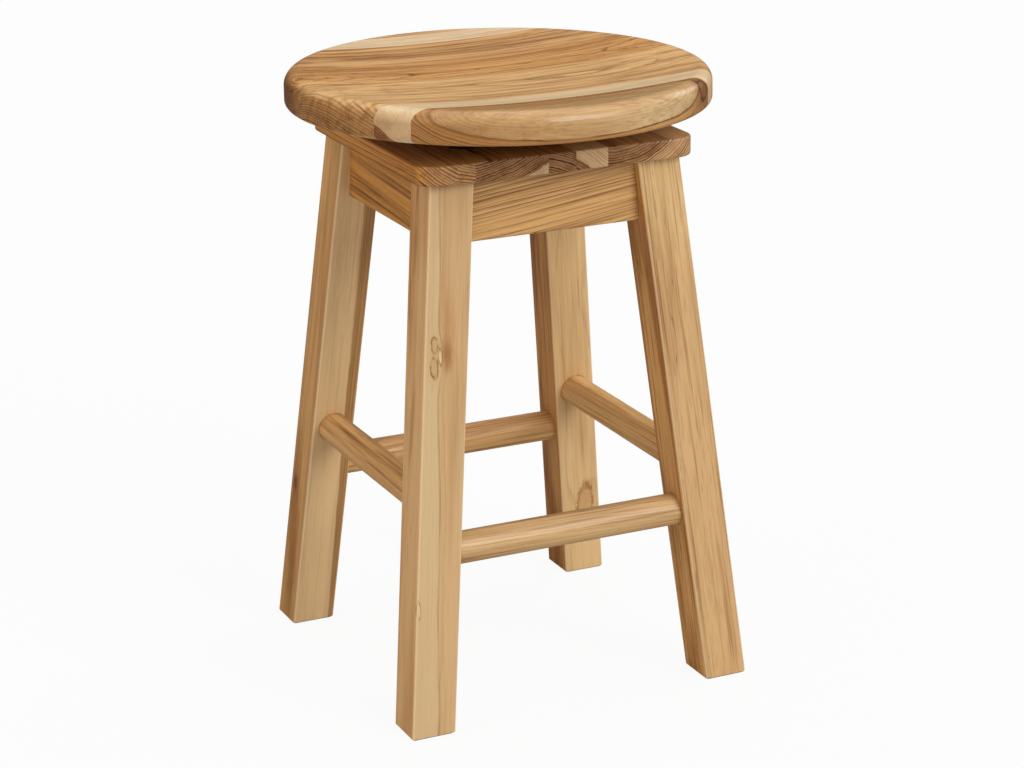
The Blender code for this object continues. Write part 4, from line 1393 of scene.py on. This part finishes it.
@dataclass
class CornerBlocks:
    """Diagonal braces between neighbouring aprons, screwed up into the base board."""

    legs: Legs = field(default_factory=Legs)
    top: float = 0.5347
    height: float = 0.024
    wall: float = 0.1042
    thickness: float = 0.020
    spread: float = 0.016
    screw_length: float = 0.035
    edge: float = 0.001
    gap: float = 0.0003
    clearance: float = 0.002
    pith: Triple = (0.03, 0.03, 0.47)
    ring: float = 0.0028
    first_seed: float = 51.0

    def outer_sum(self) -> float:
        """Sum of x and y on the brace's outer face, just clear of the leg's inner corner."""
        return 2 * (self.legs.centre(self.top + self.gap) - self.legs.half) - self.clearance * sqrt(2)

    def turn(self, corner: str) -> Matrix:
        """Rotation from the corner at +X +Y to the named one."""
        angles = {"back_right": 0.0, "back_left": pi / 2, "front_left": pi, "front_right": -pi / 2}
        return Matrix.Rotation(angles[corner], 4, "Z")

    def points(self, corner: str) -> np.ndarray:
        """Grid of a brace: a rounded section carried along the diagonal, its ends mitred to the aprons.

        With s across the brace and l along it, x = (s + l)/sqrt 2 and y = (s - l)/sqrt 2; the
        ends lie where x or y meets the apron's inner face, l = +-(wall sqrt 2 - s).

        Args:
            corner: corner of the stool.

        Returns:
            Array of rows, columns and xyz.
        """
        loop = rounded_loop(self.thickness / 2, self.height / 2, (self.edge,) * 4)
        across = self.outer_sum() / sqrt(2) - self.thickness / 2 + loop[:, 0]
        share = np.array([-1.0, -0.98, -0.5, 0.0, 0.5, 0.98, 1.0])[:, None]
        along = share * (self.wall * sqrt(2) - across)
        x, y = (across + along) / sqrt(2), (across - along) / sqrt(2)
        z = self.top - self.height / 2 + loop[:, 1] + 0 * along
        return placed(np.stack([x, y, z], axis=-1), self.turn(corner))

    def screw_places(self, corner: str) -> dict[str, Triple]:
        """Places of the two screws of a brace, on its middle line.

        Args:
            corner: corner of the stool.

        Returns:
            The undersides of the two heads, by their marks.
        """
        middle = self.outer_sum() / 2 - self.thickness / 2 / sqrt(2)
        step, z = self.spread / sqrt(2), self.top - self.height - self.gap
        spots = {"a": (middle + step, middle - step, z), "b": (middle - step, middle + step, z)}
        return {mark: tuple(self.turn(corner) @ Vector(spot)) for mark, spot in spots.items()}

    def build(self) -> None:
        """Builds the braces and dresses each in plain hickory."""
        x, y, z = self.pith
        for number, (corner, (sx, sy)) in enumerate(CORNERS.items()):
            name = f"corner_block_{corner}"
            piece = grid_object(name + "_wood", self.points(corner))
            wood = Hickory(f"{name}_hickory", (sx * x, sy * y, z), (-sx * sy, 1.0, 0.0), self.ring,
                           seed=self.first_seed + number)
            seat_piece(piece, name, Body.BASE, wood.material())


@dataclass
class Swivel:
    """Ball-bearing swivel: two pressed plates, a ring of balls in a cage and a centre rivet."""

    middle: float = 0.566
    height: float = 0.024
    plate_half: float = 0.089
    plate_corner: float = 0.012
    plate: float = 0.0025
    race: float = 0.040
    margin: float = 0.0125
    slope: float = 0.004
    race_gap: float = 0.004
    ball: float = 0.004
    balls: int = 10
    shank: float = 0.0055
    head: float = 0.010
    head_height: float = 0.002
    lip: float = 0.0006
    bend: float = 0.001
    inner_bend: float = 0.0004
    gap: float = 0.0003
    steps: int = 240

    def outline(self, angle: np.ndarray) -> np.ndarray:
        """Distance from the middle to a round-cornered square's outline in a direction.

        On the flats it is half / cos; at the corner it is where the ray leaves the corner's
        circle, c cos(a - 45) + sqrt(r^2 - c^2 sin^2(a - 45)) with c the circle's distance.

        Args:
            angle: directions.

        Returns:
            Distances in those directions.
        """
        folded = np.abs((angle + pi / 4) % (pi / 2) - pi / 4)
        flat = self.plate_half / np.cos(folded)
        centre = (self.plate_half - self.plate_corner) * sqrt(2)
        off = pi / 4 - folded
        ray = centre * np.cos(off) + np.sqrt(np.maximum(self.plate_corner ** 2 - (centre * np.sin(off)) ** 2, 0))
        straight = self.plate_half * np.tan(folded) <= self.plate_half - self.plate_corner
        return np.where(straight, flat, ray)

    def section(self) -> np.ndarray:
        """Closed half section of a pressed plate: groove round the balls, slope up, flat out to the edge.

        Returns:
            Array of radius, height and share of the way to the outline.
        """
        face, lip = self.height / 2 - self.gap, self.lip
        inner, groove = self.race_gap / 2, self.ball + self.gap
        outer, crown = inner + self.plate, groove + self.plate
        wall, hole = self.race + self.margin, self.shank + self.gap
        crown_angle, groove_angle = asin(outer / crown), asin(inner / groove)
        slope_foot, slope_head = wall - self.plate, wall - self.plate + self.slope
        top = np.concatenate([[[hole, outer]], arc((self.race, 0), crown, pi - crown_angle, crown_angle, 12),
                              [[slope_foot - self.bend, outer], [slope_foot, outer + lip],
                               [slope_head, face - lip], [slope_head + self.bend, face]]])
        edge = np.array([[0.0, face], [0.0, face], [lip, face - lip], [lip, face - self.plate + lip],
                         [0.0, face - self.plate], [0.0, face - self.plate]])
        under = np.concatenate([[[wall + self.slope + self.bend, face - self.plate],
                                 [wall + self.slope, face - self.plate - lip],
                                 [wall + self.inner_bend, inner + lip], [wall - 2 * self.inner_bend, inner]],
                                arc((self.race, 0), groove, groove_angle, pi - groove_angle, 12), [[hole, inner]]])
        to_edge = np.concatenate([np.zeros(len(top)), [0.95, 1, 1, 1, 1, 0.95], np.zeros(len(under))])
        return np.column_stack([np.concatenate([top, edge, under]), to_edge])

    def plate_points(self, place: Matrix) -> np.ndarray:
        """Grid of a plate: its section carried round the axis, with the edge points on the outline.

        Args:
            place: matrix from the plate's own frame, whose z = 0 is the ball centres' plane.

        Returns:
            Array of rows (round the axis), columns (round the section) and xyz.
        """
        angle = np.linspace(0, 2 * pi, self.steps, endpoint=False)[:, None]
        radius, height, share = self.section().T
        reach = self.outline(angle)
        r = np.where(share > 0, share * (reach - self.lip) + np.where(share == 1, radius, 0.0), radius)
        points = np.stack([r * np.cos(angle), r * np.sin(angle), height + 0 * r], axis=-1)
        return placed(points, place)

    def build(self, seat: Seat) -> None:
        """Builds plates, balls and rivet, dresses them, and gives the cage its finish.

        Args:
            seat: seat that the upper plate turns with.
        """
        black = BLACK_STEEL.material()
        centre = Matrix.Translation((0, 0, self.middle))
        upper = centre @ Matrix.Rotation(seat.turn, 4, "Z")
        lower = centre @ Matrix.Rotation(pi, 4, "X")
        rows = (("swivel_upper_plate", upper, Body.SEAT), ("swivel_lower_plate", lower, Body.BASE))
        for node, place, body in rows:
            piece = grid_object(node + "_steel", self.plate_points(place), ring=True)
            seat_piece(piece, node, body, black)
        self.build_race()
        self.build_rivet(centre)

    def build_race(self) -> None:
        """Builds the balls, as spheres on the race circle, and dresses the cage of the frame."""
        bright = BALL_STEEL.material()
        for number in range(self.balls):
            angle = 2 * pi * number / self.balls
            place = Matrix.Translation((self.race * cos(angle), self.race * sin(angle), self.middle))
            profile = arc((0.0, 0.0), self.ball, -pi / 2, pi / 2, 18)
            node = f"bearing_ball_{number + 1:02d}"
            piece = turned(node + "_steel", profile, 36, place)
            seat_piece(piece, node, Body.RACE, bright)
        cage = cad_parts["ball_cage"]
        cage.data.materials.clear()
        cage.data.materials.append(CAGE_STEEL.material())

    def build_rivet(self, centre: Matrix) -> None:
        """Builds the centre rivet as a turned shank with a rounded head beyond each plate.

        Args:
            centre: matrix from the swivel's own frame.
        """
        under = self.race_gap / 2 + self.plate + self.gap
        crown = arc((self.head - self.head_height, under), self.head_height, pi / 2, 0, 6)
        half = np.concatenate([[[0.0, under + self.head_height]], crown, [[self.shank, under]]])
        profile = np.concatenate([half, half[::-1] * np.array([1.0, -1.0])])
        piece = turned("swivel_centre_rivet_steel", profile, 48, centre)
        seat_piece(piece, "swivel_centre_rivet", Body.BASE, ZINC.material())


# Studio


@dataclass
class Lamp:
    """Broad, far light: a disc seen from the stool in one direction."""

    name: str
    towards: Triple
    width: float
    level: float
    colour: Triple = (1.0, 1.0, 1.0)

    def build(self) -> None:
        """Hangs the lamp; a white card turned to it reflects its level, as energy = pi level."""
        data = bpy.data.lights.new(self.name, "SUN")
        data.angle = radians(self.width)
        data.energy = pi * self.level
        data.color = self.colour
        obj = bpy.data.objects.new(self.name, data)
        obj.location = self.towards
        obj.rotation_euler = (-Vector(self.towards)).to_track_quat("-Z", "Y").to_euler()
        bpy.context.scene.collection.objects.link(obj)


@dataclass
class Studio:
    """White room: pale floor, soft lamps, and the camera at the picture's view."""

    picture: tuple[int, int] = (1024, 768)
    focal: float = 2794.624
    middle: tuple[float, float] = (539.489, 382.042)
    azimuth: float = -0.44409
    elevation: float = 0.31673
    roll: float = -0.00873
    eye: Triple = (-1.12541, -2.45352, 1.1685)
    sensor: float = 36.0
    sky: float = 0.30
    gloss: float = 0.05
    floor_half: float = 30.0
    floor_gap: float = 0.0003
    floor_tone: float = 0.62
    floor_rough: float = 0.9
    floor_sheen: float = 0.1
    floor_white: float = 0.93
    lamps: tuple[Lamp, ...] = (
        Lamp("key_light", (1.0, -2.4, 1.5), 38.0, 0.59),
        Lamp("top_light", (0.2, 0.2, 3.0), 70.0, 0.46),
        Lamp("rim_light", (2.55, 0.75, 1.38), 24.0, 0.12),
        Lamp("fill_light", (-2.6, -0.6, 1.2), 50.0, 0.21, (1.0, 0.81, 0.60)),
    )

    def build(self) -> None:
        """Builds floor, sky, lamps and camera, and sets the plain view transform."""
        self.build_floor()
        self.build_sky()
        for lamp in self.lamps:
            lamp.build()
        self.build_camera()
        bpy.context.scene.view_settings.view_transform = "Standard"

    def build_floor(self) -> None:
        """Large pale floor, partly plain white to the camera so that its shadow stays soft, dim in reflections."""
        half, low = self.floor_half, -self.floor_gap
        mesh = bpy.data.meshes.new("floor")
        corners = [(-half, -half, low), (half, -half, low), (half, half, low), (-half, half, low)]
        mesh.from_pydata(corners, [], [(0, 1, 2, 3)])
        floor = bpy.data.objects.new("floor", mesh)
        bpy.context.scene.collection.objects.link(floor)
        w = Wiring("pale_floor")
        w.set(Base_Color=(self.floor_tone,) * 3, Roughness=self.floor_rough, Specular_IOR_Level=self.floor_sheen)
        camera = w.add("ShaderNodeLightPath", {}, "Is Camera Ray")
        glossy = camera.node.outputs["Is Glossy Ray"]
        level = w.ease(glossy, 0.0, 1.0, 1.0, self.gloss)
        plain = w.add("ShaderNodeEmission", {"Color": (1, 1, 1), "Strength": level})
        share = w.math("MULTIPLY", w.math("ADD", camera, glossy), self.floor_white)
        blend = w.add("ShaderNodeMixShader", {0: share, 1: w.shader.outputs[0], 2: plain})
        w.feed(w.tree.nodes["Material Output"].inputs["Surface"], blend)
        mesh.materials.append(w.material)

    def build_sky(self) -> None:
        """White sky: full white to the camera, a plain soft level as light, dim in reflections."""
        world = bpy.data.worlds.new("studio")
        world.use_nodes = True
        tree = world.node_tree
        back = tree.nodes["Background"]
        back.inputs["Color"].default_value = (1, 1, 1, 1)
        path = tree.nodes.new("ShaderNodeLightPath")
        plain = tree.nodes.new("ShaderNodeMapRange")
        tree.links.new(path.outputs["Is Glossy Ray"], plain.inputs[0])
        plain.inputs[3].default_value, plain.inputs[4].default_value = self.sky, self.gloss
        level = tree.nodes.new("ShaderNodeMapRange")
        tree.links.new(path.outputs["Is Camera Ray"], level.inputs[0])
        tree.links.new(plain.outputs[0], level.inputs[3])
        tree.links.new(level.outputs[0], back.inputs["Strength"])
        bpy.context.scene.world = world

    def build_camera(self) -> None:
        """Camera with its back along (sin a cos e, -cos a cos e, sin e), rolled about its view."""
        back = Vector((sin(self.azimuth) * cos(self.elevation), -cos(self.azimuth) * cos(self.elevation),
                       sin(self.elevation)))
        right = (-back).cross(Vector((0, 0, 1))).normalized()
        up = right.cross(-back)
        turned_right = cos(self.roll) * right + sin(self.roll) * up
        turned_up = cos(self.roll) * up - sin(self.roll) * right
        width, height = self.picture
        data = bpy.data.cameras.new("camera")
        data.sensor_width = self.sensor
        data.lens = self.focal / width * self.sensor
        data.shift_x = (width / 2 - self.middle[0]) / width
        data.shift_y = (self.middle[1] - height / 2) / width
        camera = bpy.data.objects.new("camera", data)
        turn = Matrix((turned_right, turned_up, back)).transposed().to_4x4()
        camera.matrix_world = Matrix.Translation(self.eye) @ turn
        bpy.context.scene.collection.objects.link(camera)
        bpy.context.scene.camera = camera


def main() -> None:
    """Builds the studio and the stool, sub-assembly by sub-assembly."""
    logging.basicConfig(level=logging.INFO, format="%(message)s")
    Studio().build()
    seat, board, legs, blocks = Seat(), BaseBoard(), Legs(), CornerBlocks()
    aprons, stretchers = Aprons(), Stretchers()
    seat.build()
    Swivel().build(seat)
    board.build()
    aprons.build()
    stretchers.build()
    legs.build(aprons, stretchers)
    blocks.build()
    Screws().build(seat, board, blocks)


if __name__ == "__main__":
    main()
